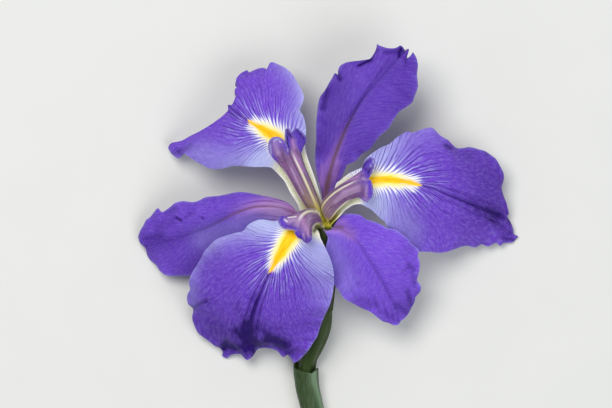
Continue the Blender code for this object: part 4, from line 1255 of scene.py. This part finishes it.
def halo_mask(petal, along, sideways, gold):
    """1 beside the signal, less away from it, and less past its tip."""
    length = petal["signal"][0]
    tip_width, more_at_root, reach = petal["halo"]
    width = tip_width + more_at_root * (1 - np.clip(along / length, 0, 1))
    halo = 1 - np.clip(-gold / width, 0, reach)
    halo -= soft_step(length - 2, length + 6, along)
    halo -= 1.3 * soft_step(length - 3, length + 0.5, along) * bell(sideways, 1.3)
    return halo


def pale_side(limits, angle, flow):
    """How pale one side of a fall is, by the angle from its midline and the distance from the root."""
    low, high, fade_start, fade_end, strength = limits
    return strength * soft_step(low, high, angle) * (1 - 0.85 * soft_step(fade_start, fade_end, flow))


def pale_mask(petal, along, sideways, rim, angle, flow):
    """The pale sides, margins and thin rim of a fall."""
    left = pale_side(petal["pale_left"], angle, flow)
    right = pale_side(petal["pale_right"], angle, flow)
    margin = np.exp(-rim / 4.0) * soft_step(20, 60, angle) * (1 - soft_step(18, 42, along))
    pale = np.maximum(np.where(sideways > 0, left, right), 0.75 * margin)
    return np.maximum(pale, 0.30 * np.exp(-rim / PALE_RIM))


def deep_mask(petal, along, sideways, flow):
    """The dark lines that run on past the signal, and the darker far end of a fall, its deeper colour with
    painted shade where it curves down.
    """
    length = petal["signal"][0]
    past = np.maximum(along - length, 0)
    line = bell(sideways, 0.36 + 0.012 * past)
    line += 0.5 * bell(sideways - 1.6 - 0.03 * past, 0.30)
    line += 0.5 * bell(sideways + 1.5 + 0.03 * past, 0.30)
    line *= petal["midline"] * soft_step(length - 1.0, length + 1.0, along)
    line *= 1 - 0.5 * soft_step(length + 14, length + 34, along)
    near, far = petal["depth"]
    return np.clip(line + near + (far - near) * soft_step(26, 52, flow), 0, 1)


def line_masks(petal, along, sideways, gold, fan, flow):
    """How strongly the veins and the gleam between them show."""
    length = petal["signal"][0]
    angle = np.degrees(fan)
    central = bell(fan, np.where(sideways > 0, *petal["rays"])) * soft_step(length - 4, length + 3, flow)
    sides = soft_step(28, 50, angle) * (1 - soft_step(18, 34, flow)) * np.where(sideways > 0, *petal["comb"])
    etch = 0.04 + 0.66 * (1 - soft_step(4, 17, -gold)) + 0.22 * central * (1 - soft_step(30, 46, flow))
    etch = np.maximum(etch, 0.42 * sides) * (1 - 0.5 * soft_step(62, 86, angle)) * soft_step(-4, 4, along)
    glow = 0.42 * (1 - soft_step(3, 13, -gold)) + 0.16 * sides + 0.02
    return dict(etch=etch, glow=glow)


def fall_masks(petal, along, sideways, rim):
    """Where a fall's colours lie, and its vein numbers."""
    length = petal["signal"][0]
    bend = petal["bend"] + (0.9 - petal["bend"]) * soft_step(0.4 * length, 1.6 * length, along)
    fan = np.arctan2(np.abs(sideways) ** bend * 8 ** (1 - bend), along + 2.0)
    flow = np.hypot(along, sideways)
    gold = np.minimum(spear(along, sideways, *petal["signal"]), along + 4)
    return dict(
        vein=np.where(sideways > 0, fan, -fan) * FALL_VEINS + FALL_SIDE_SHIFT,
        flow=flow,
        gold=gold,
        halo=halo_mask(petal, along, sideways, gold),
        pale=pale_mask(petal, along, sideways, rim, np.degrees(fan), flow),
        deep_and_shade=deep_mask(petal, along, sideways, flow),
        lip=np.exp(-rim / 0.5),
        claw=soft_step(-1.5, -7, along) * 0.92,
        flank=1 - soft_step(0.45, 0.85, np.clip(along / length, 0, 1)),
        **line_masks(petal, along, sideways, gold, fan, flow),
    )


def standard_masks(petal, along, sideways, rim):
    """Where a standard's colours lie, and its vein numbers."""
    width = np.abs(sideways)
    left, right = petal["veins"]
    label = np.where(sideways > 0, left[0] * along + left[1] * width, right[0] * along + right[1] * width)
    rose_width, rose_length, rose = petal["rose"]
    narrowing = 1.4 - 0.7 * soft_step(4, 16, along)
    base = rose * bell(sideways, rose_width * narrowing)
    base *= 1 - soft_step(0.3 * rose_length, rose_length, along)
    strength, brown, rib_width = petal["rib"]
    rib = strength * bell(sideways, rib_width) * (1 - soft_step(0.6 * rose_length, 1.3 * rose_length, along))
    # painted shade: the groove of the midrib and a wider band along it, on top of the blade's own darkness
    depth, groove, groove_width, wide = petal["shade"]
    line = groove * bell(sideways, groove_width) * (1 - 0.7 * soft_step(26, 48, along))
    shade = wide * bell(sideways, 3.0) * soft_step(14, 28, along)
    return dict(
        vein=np.where(sideways > 0, label, label + STANDARD_SIDE_SHIFT) / STANDARD_VEIN_GAP,
        flow=along,
        base=base,
        rib=rib,
        brown=np.full(rim.shape, brown),
        deep_and_shade=depth + line * soft_step(4, 12, along) + shade,
        fine=np.full(rim.shape, petal["lines"]),
        pale=0.26 * np.exp(-rim / PALE_RIM),
    )


def petal_mesh_counts(petal, spacing):
    """Rows and columns that put a petal's points about this far apart."""
    middle = smooth_curve([station[0] for station in petal["stations"]])
    widest = max(
        np.linalg.norm(np.subtract(left, middle)) + np.linalg.norm(np.subtract(right, middle))
        for middle, left, right in petal["stations"]
    )
    return round(distances(middle)[-1] / spacing), 2 * round(widest / spacing / 2)


def petal_relief(points, masks, along, sideways, rim, sizes):
    """The fine shape of a petal: its crimped rim, the pleats of its veins and the groove of its midrib."""
    crimp(points, along, sideways, rim, sizes.crimp_height)
    flow = masks["flow"]
    pleat = np.sin(masks["vein"] * PLEAT_TURN) * soft_step(3, 8, flow) * (1 - soft_step(9, 18, flow))
    points[..., 2] += sizes.pleat_height * pleat
    points[..., 2] -= MIDRIB_DEPTH * bell(sideways, MIDRIB_HALF_WIDTH) * soft_step(2, 9, along)


def make_petal(name, petal, root, masks_of, finishes, sizes):
    """Models one petal over its solid: its blade, relief, dents, colours and thickness."""
    rows, columns = petal_mesh_counts(petal, sizes.petal_spacing)
    points = petal_points(petal, rows, columns)
    points = add_hem(points, petal["hem"], round(HEM_LENGTH / sizes.petal_spacing))
    along, sideways, rim = flat_map(points, root)
    masks = masks_of(petal, along, sideways, rim)
    masks.update(side=sideways, along=along, back_rib=0.6 * bell(sideways, BACK_RIB_HALF_WIDTH))
    masks["heart"] = 0.9 * (1 - soft_step(*petal["heart"], along - along[0].min())) * np.ones_like(rim)
    masks.update(mark_masks(points, petal["marks"], PETAL_MARKS))
    petal_relief(points, masks, along, sideways, rim, sizes)
    # the dents' darkness is painted shade in their creases and folds, and below 0 painted light
    shapes = [dent_shape(points, dent) for dent in petal["dents"]]
    for shape, (*_, depth, darkness) in zip(shapes, petal["dents"]):
        press(points, masks, "deep_and_shade", shape, depth, darkness)
    points[..., 2] = np.maximum(points[..., 2], LEAST_HEIGHT)
    piece = grid_piece(name + "_petal", points, masks, finishes)
    thicken(piece, sizes.petal_thickness)
    hand_over(piece, name)


class IRIS_OT_falls(bpy.types.Operator):
    """Models the three falls, the petals with a yellow signal"""

    bl_idname = "iris.falls"
    bl_label = "Falls"

    def execute(self, context):
        sizes, colours = context.scene.iris_sizes, context.scene.iris_colours
        finishes = (fall_finish(colours), petal_back_finish(colours))
        for name, petal in FALLS.items():
            root = flat_place(petal["root"])
            make_petal(name, petal, root, fall_masks, finishes, sizes)
        return {"FINISHED"}


class IRIS_OT_standards(bpy.types.Operator):
    """Models the three standards, the plain petals between the falls"""

    bl_idname = "iris.standards"
    bl_label = "Standards"

    def execute(self, context):
        sizes, colours = context.scene.iris_sizes, context.scene.iris_colours
        finishes = (standard_finish(colours), bpy.data.materials["petal_lower"])
        for name, petal in STANDARDS.items():
            claw_midrib = petal["stations"][0][0]
            make_petal(name, petal, claw_midrib[:2], standard_masks, finishes, sizes)
        return {"FINISHED"}


def arm_streaks(n, fineness, detail):
    """Streaks along a style arm, finer across it the larger the fineness is."""
    return n.noise(n.pair(n.times(n.attribute("panel"), fineness), n.attribute("reach")), 1.0, detail)


def style_keel(n, colours, colour):
    """The keel and the edges of a style arm, tan near the heart, then cream, then pearly."""
    keel = n.mix(n.step(n.attribute("reach"), 0.10, 0.42), colours.tan, colours.cream)
    keel = n.mix(n.step(n.attribute("reach"), 0.46, 0.66), keel, colours.pearl)
    return n.mix(n.attribute("keel"), colour, keel)


def style_finish(colours):
    """Mauve panels with plum streaks, a cream keel and rim, and violet crests."""
    made, n, shader = finish("style_upper", specular=0.1)
    grain = n.group(grain_group(), Size=STYLE_GRAIN)
    streak = arm_streaks(n, 9.0, 3.0)
    colour = n.mix(n.step(streak, 0.32, 0.55), colours.plum, colours.mauve)
    colour = n.mix(n.attribute("dun"), colour, colours.dun)
    # the arm's dark lines and painted shade in its grooves and at its panels' edges
    colour = n.mix(n.attribute("shade"), colour, colours.plum)
    colour = n.mix(n.times(n.step(streak, 0.55, 0.72), 0.25), colour, colours.cream)
    colour = n.mix(n.attribute("crest"), colour, colours.crest)
    fine = arm_streaks(n, 22.0, 2.0)
    threads = n.times(n.attribute("crest"), n.step(fine, 0.48, 0.66))
    colour = n.mix(n.times(threads, 0.45), colour, colours.indigo)
    colour = n.mix(n.attribute("night"), colour, colours.indigo)
    # painted highlight along the crests' rims
    colour = n.mix(n.attribute("frill"), colour, colours.lavender)
    # white, lavender and blush marks are painted highlights; plum marks are partly painted shade
    for mark in MARKS:
        share = n.times(n.attribute("mark_" + mark), n.step(fine, 0.3, 0.6, 0.7, 1.0))
        colour = n.mix(share, colour, getattr(colours, mark))
    colour = style_keel(n, colours, colour)
    colour = n.mix(n.step(grain["Cells"], 0.5, 0.72, 0.0, 0.10), colour, colours.lavender)
    colour = n.mix(n.step(fine, 0.5, 0.3, 0.0, 0.22), colour, colours.plum)
    heart = n.mix(n.step(streak, 0.42, 0.58), colours.olive, colours.heart)
    colour = n.mix(n.attribute("base"), colour, heart)
    n.feed(shader.inputs["Base Color"], colour)
    n.feed(shader.inputs["Roughness"], n.step(grain["Cells"], 0.3, 0.7, 0.52, 0.68))
    n.feed(shader.inputs["Normal"], n.bump(n.plus(fine, grain["Cells"]), 0.5, 0.22))
    return made


def style_back_finish(colours):
    """The lower face of a style arm: cream with mauve veins."""
    made, n, shader = finish("style_lower")
    streak = arm_streaks(n, 7.0, 2.0)
    colour = n.mix(n.step(streak, 0.4, 0.7), colours.cream, colours.mauve)
    n.feed(shader.inputs["Base Color"], n.mix(n.attribute("crest"), colour, colours.crest))
    n.feed(shader.inputs["Roughness"], n.step(streak, 0.3, 0.7, 0.45, 0.6))
    return made


def arm_points(arm, s, v):
    """The points of a style arm's upper face, from the mouth to the edge of its two-lobed crest."""
    base = tuple(
        mouth_point(STYLE_RING_RADIUS, arm["angle"], side * STYLE_BASE_HALF_WIDTH) for side in (0, 1, -1)
    )
    lines = read_curve(smooth_curve((base, *arm["stations"]), STATION_SAMPLES), s)
    left, right = lines[:, 1], lines[:, 2]
    points = across(lines[:, 0], left, right, v)
    fit_outline(points, left, right, arm, s, v, ARM_TIP_START, ARM_EDGE_SHARPNESS)
    side = np.abs(v)
    panel = 0.5 * np.sin(math.pi * side) - 0.4 * bell(side - 0.17, 0.07)
    dome = np.where(v > 0, *arm["domes"]) * np.sin(math.pi * side) ** 0.7
    frill = FRILL_HEIGHT * np.sin(v * FRILL_TURN) * side**0.5
    panel_share = soft_step(*PANEL_START, s) * (1 - soft_step(*CREST_START, s))
    dome_share = soft_step(*CREST_START, s) * (1 - 0.6 * soft_step(*CREST_EDGE, s))
    frill_share = soft_step(*FRILL_START, s)
    for share, height in ((panel_share, panel), (dome_share, dome), (frill_share, frill)):
        points[..., 2] += share[:, None] * height[None]
    return points


def arm_masks(arm, points, s, v):
    """Where a style arm's colours lie."""
    side = np.abs(v)
    from_keel = v * np.linalg.norm(points[:, :1] - points[:, -1:], axis=2) / 2
    keel = bell(from_keel, arm["keel"] * (1.6 - 1.05 * s)) * (1 - soft_step(0.70, 0.86, s))
    edge = soft_step(0.9, 0.99, side) * (1 - soft_step(0.6, 0.75, s))
    return dict(
        panel=v,
        reach=s * 0.8,
        crest=soft_step(0.76, 0.96, s) * 0.9,
        # plum beside the keel and towards the edges: the arm's dark lines, with painted shade in the grooves
        # and on the panels' curving edges
        shade=0.75 * bell(side - 0.2, 0.09) + 0.6 * soft_step(0.68, 0.86, side),
        night=soft_step(0.8, 0.97, s) * np.where(v > 0, *arm["night"]),
        # painted highlight: lavender along the crest's frilled rim
        frill=0.25 * soft_step(0.975, 1.0, s),
        keel=0.9 * np.maximum(keel, edge),
        base=0.9 * (1 - soft_step(0.04, 0.28 + 0.14 * bell(from_keel, 0.8), s)),
        dun=arm["dun"] * (1 - soft_step(0.25, 0.62, s)),
    )


class IRIS_OT_style_arms(bpy.types.Operator):
    """Models the three petal-like style arms with their crests"""

    bl_idname = "iris.style_arms"
    bl_label = "Style arms"

    def execute(self, context):
        sizes, colours = context.scene.iris_sizes, context.scene.iris_colours
        finishes = (style_finish(colours), style_back_finish(colours))
        rows, columns = ARM_MESH
        s = np.linspace(0, 1, rows + 1)
        v = np.linspace(-1, 1, columns + 1)
        for name, arm in STYLE_ARMS.items():
            points = arm_points(arm, s, v)
            masks = arm_masks(arm, points, *np.meshgrid(s, v, indexing="ij"))
            masks.update(mark_masks(points, arm["marks"], MARKS))
            for *segment, depth, darkness in arm["dents"]:
                press(points, masks, "night", dent_shape(points, segment), depth, darkness)
            piece = grid_piece(name + "_blade", points, masks, finishes)
            thicken(piece, sizes.style_thickness)
            hand_over(piece, name)
        return {"FINISHED"}


def frames_along(line):
    """At each point of a line, the way it runs, the way to its right and the way up from both."""
    tangents = np.gradient(line, axis=0)
    tangents /= np.linalg.norm(tangents, axis=1)[:, None]
    sideways = np.cross(tangents, (0, 0, 1))
    sideways /= np.linalg.norm(sideways, axis=1)[:, None]
    return tangents, sideways, np.cross(sideways, tangents)


def round_points(line, radii, mesh, shape, bulges=(0.0, 0.0)):
    """The points of a closed round piece: rings along a line, capped at both ends by rings that close in."""
    rings, sides = mesh
    stations = [(*point, radius) for point, radius in zip(line, radii)]
    path = read_curve(smooth_curve(stations), np.linspace(0, 1, rings))
    tangents, sideways, upwards = frames_along(path[:, :3])
    angles = np.linspace(0, 2 * math.pi, sides + 1)
    rows = []
    for k in range(rings):
        radius = path[k, 3] * shape(k / (rings - 1), angles)[:, None]
        ring = (sideways[k] * np.cos(angles)[:, None] + upwards[k] * np.sin(angles)[:, None]) * radius
        rows.append(path[k, :3] + ring)
    for end, way, bulge in ((0, -1, bulges[0]), (-1, 1, bulges[1])):
        rim = rows[end] - path[end, :3]
        closing = (*CAP_RIM, *((share, push + bulge) for share, push in CAP_FACE))
        caps = [
            path[end, :3] + rim * share + way * tangents[end] * path[end, 3] * push for share, push in closing
        ]
        rows = caps[::-1] + rows if end == 0 else rows + caps
    return np.array(rows)


def round_piece(name, points, finishes):
    """A closed mesh from rings of points: its seam and its poles are merged and its faces point out."""
    rows, columns = points.shape[:2]
    share = np.linspace(0, 1, rows)[:, None] * np.ones((1, columns))
    # the crown's yellow green stops above the gap under the heart, leaving the tube's painted shade there
    crown = soft_step(0.93, 0.98, share) * (1 - soft_step(*GAP_TOP_PIXELS, pixels_of(points)[..., 1]))
    piece = grid_piece(name, points, dict(crown=crown), finishes)
    bpy.ops.object.mode_set(mode="EDIT")
    bpy.ops.mesh.select_all(action="SELECT")
    bpy.ops.mesh.remove_doubles(threshold=MERGE_DISTANCE)
    bpy.ops.mesh.normals_make_consistent(inside=False)
    bpy.ops.object.mode_set(mode="OBJECT")
    bpy.ops.object.shade_smooth_by_angle(angle=math.radians(ROUND_SHARP_ANGLE))
    return piece


def skin_finish(name, main, light, roughness, stripe=False, crown=None):
    """A skin with lengthwise fibres and a soft mottle and, where wanted, a pale stripe or a crown."""
    made, n, shader = finish(name, specular=0.3)
    where = n.place()
    stretch = n.add("ShaderNodeMapping")
    stretch.inputs["Scale"].default_value = (1.0, 0.06, 1.0)
    n.feed(stretch.inputs["Vector"], where)
    fibres = n.noise(stretch.outputs[0], 2600.0, 3.0)
    mottle = n.noise(where, 160.0, 3.0)
    colour = n.mix(n.times(n.step(fibres, 0.35, 0.65), 0.13), main, light)
    colour = n.mix(n.times(n.step(mottle, 0.35, 0.75), 0.12), colour, light)
    if stripe:
        colour = n.mix(n.attribute("bloom"), colour, light)
    if crown:
        colour = n.mix(n.attribute("crown"), colour, crown)
    n.feed(shader.inputs["Base Color"], colour)
    n.feed(shader.inputs["Roughness"], n.step(mottle, 0.3, 0.7, roughness - 0.08, roughness + 0.1))
    n.feed(shader.inputs["Normal"], n.bump(n.plus(fibres, mottle), 0.4, 0.12))
    return made


def mixed(first, second, share):
    """A colour between two others."""
    return tuple(a + (b - a) * share for a, b in zip(first, second))


def anther_lobes(t, angles):
    """The two lobes of the anther; the filament stays round."""
    return 1 + 0.16 * (t > 0.35) * np.cos(2 * angles)


class IRIS_OT_stamens(bpy.types.Operator):
    """Models the stamens under the style arms"""

    bl_idname = "iris.stamens"
    bl_label = "Stamens"

    def execute(self, context):
        colours = context.scene.iris_colours
        made = skin_finish("stamen_pollen", colours.pollen, mixed(colours.pollen, colours.white, 0.5), 0.75)
        for name, ends in STAMENS.items():
            start, neck, tip = (np.array(point) for point in ends)
            line = [start, start + (neck - start) * FILAMENT_END]
            line += [neck + (tip - neck) * share for share in ANTHER_SHARES]
            points = round_points(line, STAMEN_RADII, ANTHER_MESH, anther_lobes)
            hand_over(round_piece(name + "_anther", points, [made]), name)
        return {"FINISHED"}


def pod_ribs(t, angles):
    """The six ribs of the pod, highest halfway along it."""
    rib = np.abs(np.cos(3 * angles)) ** 1.6
    return 1 + (0.16 * rib - 0.08) * math.sin(math.pi * t) ** 0.7


def tube_flutes(t, angles):
    """The six shallow flutes of the tube."""
    return 1 + 0.04 * np.cos(6 * angles)


class IRIS_OT_pod_and_tube(bpy.types.Operator):
    """Models the six-ribbed ovary and the floral tube above it"""

    bl_idname = "iris.pod_and_tube"
    bl_label = "Pod and tube"

    def execute(self, context):
        colours = context.scene.iris_colours
        pod = skin_finish("pod_skin", colours.pod, mixed(colours.pod, colours.sheath, 0.35), 0.5)
        # the tube's own green, darkened towards the hollow green as painted shade under the petals
        tube = skin_finish(
            "tube_skin",
            mixed(colours.pod, colours.hollow, 0.6),
            mixed(colours.pod, colours.olive, 0.2),
            0.6,
            crown=mixed(colours.olive, colours.heart, 0.5),
        )
        points = round_points(OVARY_LINE, OVARY_RADII, POD_MESH, pod_ribs)
        hand_over(round_piece("ovary_pod", points, [pod]), "ovary")
        points = round_points(TUBE_LINE, TUBE_RADII, TUBE_MESH, tube_flutes)
        hand_over(round_piece("tube_funnel", points, [tube]), "floral_tube")
        return {"FINISHED"}


def stem_ridges(t, angles):
    """Nine low ridges that turn a little round the stem."""
    return 1 + 0.012 * np.cos(9 * angles + 2 * t)


class IRIS_OT_stem(bpy.types.Operator):
    """Models the cut stem"""

    bl_idname = "iris.stem"
    bl_label = "Stem"

    def execute(self, context):
        colours = context.scene.iris_colours
        skin = skin_finish("stem_skin", colours.stem, mixed(colours.stem, colours.sheath, 0.5), 0.5)
        points = round_points(STEM_LINE, STEM_RADII, STEM_MESH, stem_ridges, (STEM_CUT_BULGE, 0.0))
        hand_over(round_piece("stem_stalk", points, [skin]), "stem")
        return {"FINISHED"}


def bract_points(stations, rows, dip):
    """The points of a sheath leaf's outer face, wrapped round its middle line, with a slanting rim."""
    s = np.linspace(0, 1, rows + 1)
    path = read_curve(smooth_curve(stations), s)
    tangents, sideways, upwards = frames_along(path[:, :3])
    share = np.linspace(0, 1, BRACT_COLUMNS + 1)
    angles = np.radians(path[:, 4:5] + (path[:, 5:6] - path[:, 4:5]) * share[None])
    ribs = BRACT_RIB_HEIGHT * np.cos(share * 2 * math.pi * BRACT_RIBS)[None]
    radius = path[:, 3:4] + BRACT_OUTWARDS + ribs
    around = sideways[:, None] * np.cos(angles)[..., None] + upwards[:, None] * np.sin(angles)[..., None]
    lowered = dip * np.interp(np.cos(angles), *BRACT_RIM) * soft_step(BRACT_DIP_START, 1.0, s)[:, None]
    return path[:, None, :3] + around * radius[..., None] - tangents[:, None] * lowered[..., None]


def bloom_mask(rows, columns):
    """The pale stripe along a sheath leaf, which slants near its upper end, and the bloom by one edge."""
    share = np.ones((rows + 1, 1)) * np.linspace(0, 1, columns + 1)[None]
    slant = 0.10 * soft_step(0.0, 0.25, np.linspace(1, 0, rows + 1))[:, None]
    return 0.95 * bell(share - 0.33 + slant, 0.11) + 0.14 * soft_step(0.8, 0.9, share)


class IRIS_OT_sheath(bpy.types.Operator):
    """Models the two sheath leaves round the stem"""

    bl_idname = "iris.sheath"
    bl_label = "Sheath"

    def execute(self, context):
        sizes, colours = context.scene.iris_sizes, context.scene.iris_colours
        outside = skin_finish("sheath_outside", colours.sheath, colours.bloom, 0.55, stripe=True)
        inside = skin_finish("sheath_inside", mixed(colours.sheath, colours.stem, 0.6), colours.sheath, 0.5)
        for name, (stations, rows, dip) in BRACTS.items():
            points = bract_points(stations, rows, dip)
            masks = dict(bloom=bloom_mask(rows, BRACT_COLUMNS))
            piece = grid_piece(name + "_leaf", points, masks, (outside, inside))
            thicken(piece, sizes.bract_thickness)
            hand_over(piece, name)
        return {"FINISHED"}


def area_light(name, at, size, power, colour):
    """A round studio light that shines at the flower."""
    light = bpy.data.lights.new(name, "AREA")
    light.shape = "DISK"
    light.size = size
    light.energy = power
    light.color = colour
    made = bpy.data.objects.new(name, light)
    bpy.context.scene.collection.objects.link(made)
    made.location = at
    made.rotation_euler = (Vector(LIGHT_TARGET) - Vector(at)).to_track_quat("-Z", "Y").to_euler()


def floor_finish(colours):
    """Pale matt paint with a faint mottle."""
    made, n, shader = finish("floor_paint", specular=0.1)
    shader.inputs["Roughness"].default_value = FLOOR_ROUGHNESS
    grain = n.noise(n.place(), 40.0, 2.0)
    colour = n.mix(n.step(grain, 0.2, 0.8, 0.0, 0.06), colours.floor, colours.white)
    n.feed(shader.inputs["Base Color"], colour)
    return made


def make_floor(colours):
    """A round floor under the flower."""
    bpy.ops.object.select_all(action="DESELECT")
    bpy.ops.mesh.primitive_circle_add(vertices=96, radius=FLOOR_RADIUS, fill_type="NGON", location=(0, 0, 0))
    floor = bpy.context.object
    floor.name = "floor"
    floor.data.materials.append(floor_finish(colours))


def make_studio(scene):
    """The soft light from all round and from two lamps."""
    for name, light in LIGHTS.items():
        area_light(name, **light)
    world = bpy.data.worlds.new("studio")
    world.use_nodes = True
    background = world.node_tree.nodes["Background"]
    background.inputs["Color"].default_value = STUDIO_COLOUR
    background.inputs["Strength"].default_value = STUDIO_STRENGTH
    scene.world = world
    scene.view_settings.view_transform = "Standard"


def make_camera(scene):
    """The camera that looks straight down on the middle of the picture."""
    camera = bpy.data.cameras.new("camera")
    camera.lens = CAMERA_LENS
    camera.sensor_width = CAMERA_SENSOR
    camera.clip_end = CAMERA_CLIP_END
    made = bpy.data.objects.new("camera", camera)
    scene.collection.objects.link(made)
    made.location = place((*VIEW_MIDDLE, CAMERA_HEIGHT))
    scene.camera = made


class IRIS_OT_stage(bpy.types.Operator):
    """Adds the pale floor, the soft studio light and the camera that looks down on the flower"""

    bl_idname = "iris.stage"
    bl_label = "Stage"

    def execute(self, context):
        make_floor(context.scene.iris_colours)
        make_studio(context.scene)
        make_camera(context.scene)
        return {"FINISHED"}


class IRIS_PT_panel(bpy.types.Panel):
    """Lists the steps that make the flower"""

    bl_label = "Iris"
    bl_idname = "IRIS_PT_panel"
    bl_space_type = "VIEW_3D"
    bl_region_type = "UI"
    bl_category = "Iris"

    def draw(self, context):
        for settings in (context.scene.iris_sizes, context.scene.iris_colours):
            for name in settings.bl_rna.properties.keys():
                if name not in ("name", "rna_type"):
                    self.layout.prop(settings, name)
        for operator in OPERATORS:
            self.layout.operator(operator.bl_idname)


OPERATORS = (
    IRIS_OT_falls,
    IRIS_OT_standards,
    IRIS_OT_style_arms,
    IRIS_OT_stamens,
    IRIS_OT_pod_and_tube,
    IRIS_OT_stem,
    IRIS_OT_sheath,
    IRIS_OT_stage,
)
CLASSES = (IrisSizes, IrisColours, *OPERATORS, IRIS_PT_panel)


def register():
    for each in CLASSES:
        bpy.utils.register_class(each)
    bpy.types.Scene.iris_sizes = bpy.props.PointerProperty(type=IrisSizes)
    bpy.types.Scene.iris_colours = bpy.props.PointerProperty(type=IrisColours)


def unregister():
    del bpy.types.Scene.iris_colours
    del bpy.types.Scene.iris_sizes
    for each in reversed(CLASSES):
        bpy.utils.unregister_class(each)


def main():
    register()
    bpy.ops.iris.falls()
    bpy.ops.iris.standards()
    bpy.ops.iris.style_arms()
    bpy.ops.iris.stamens()
    bpy.ops.iris.pod_and_tube()
    bpy.ops.iris.stem()
    bpy.ops.iris.sheath()
    bpy.ops.iris.stage()
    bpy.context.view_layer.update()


if __name__ == "__main__":
    main()
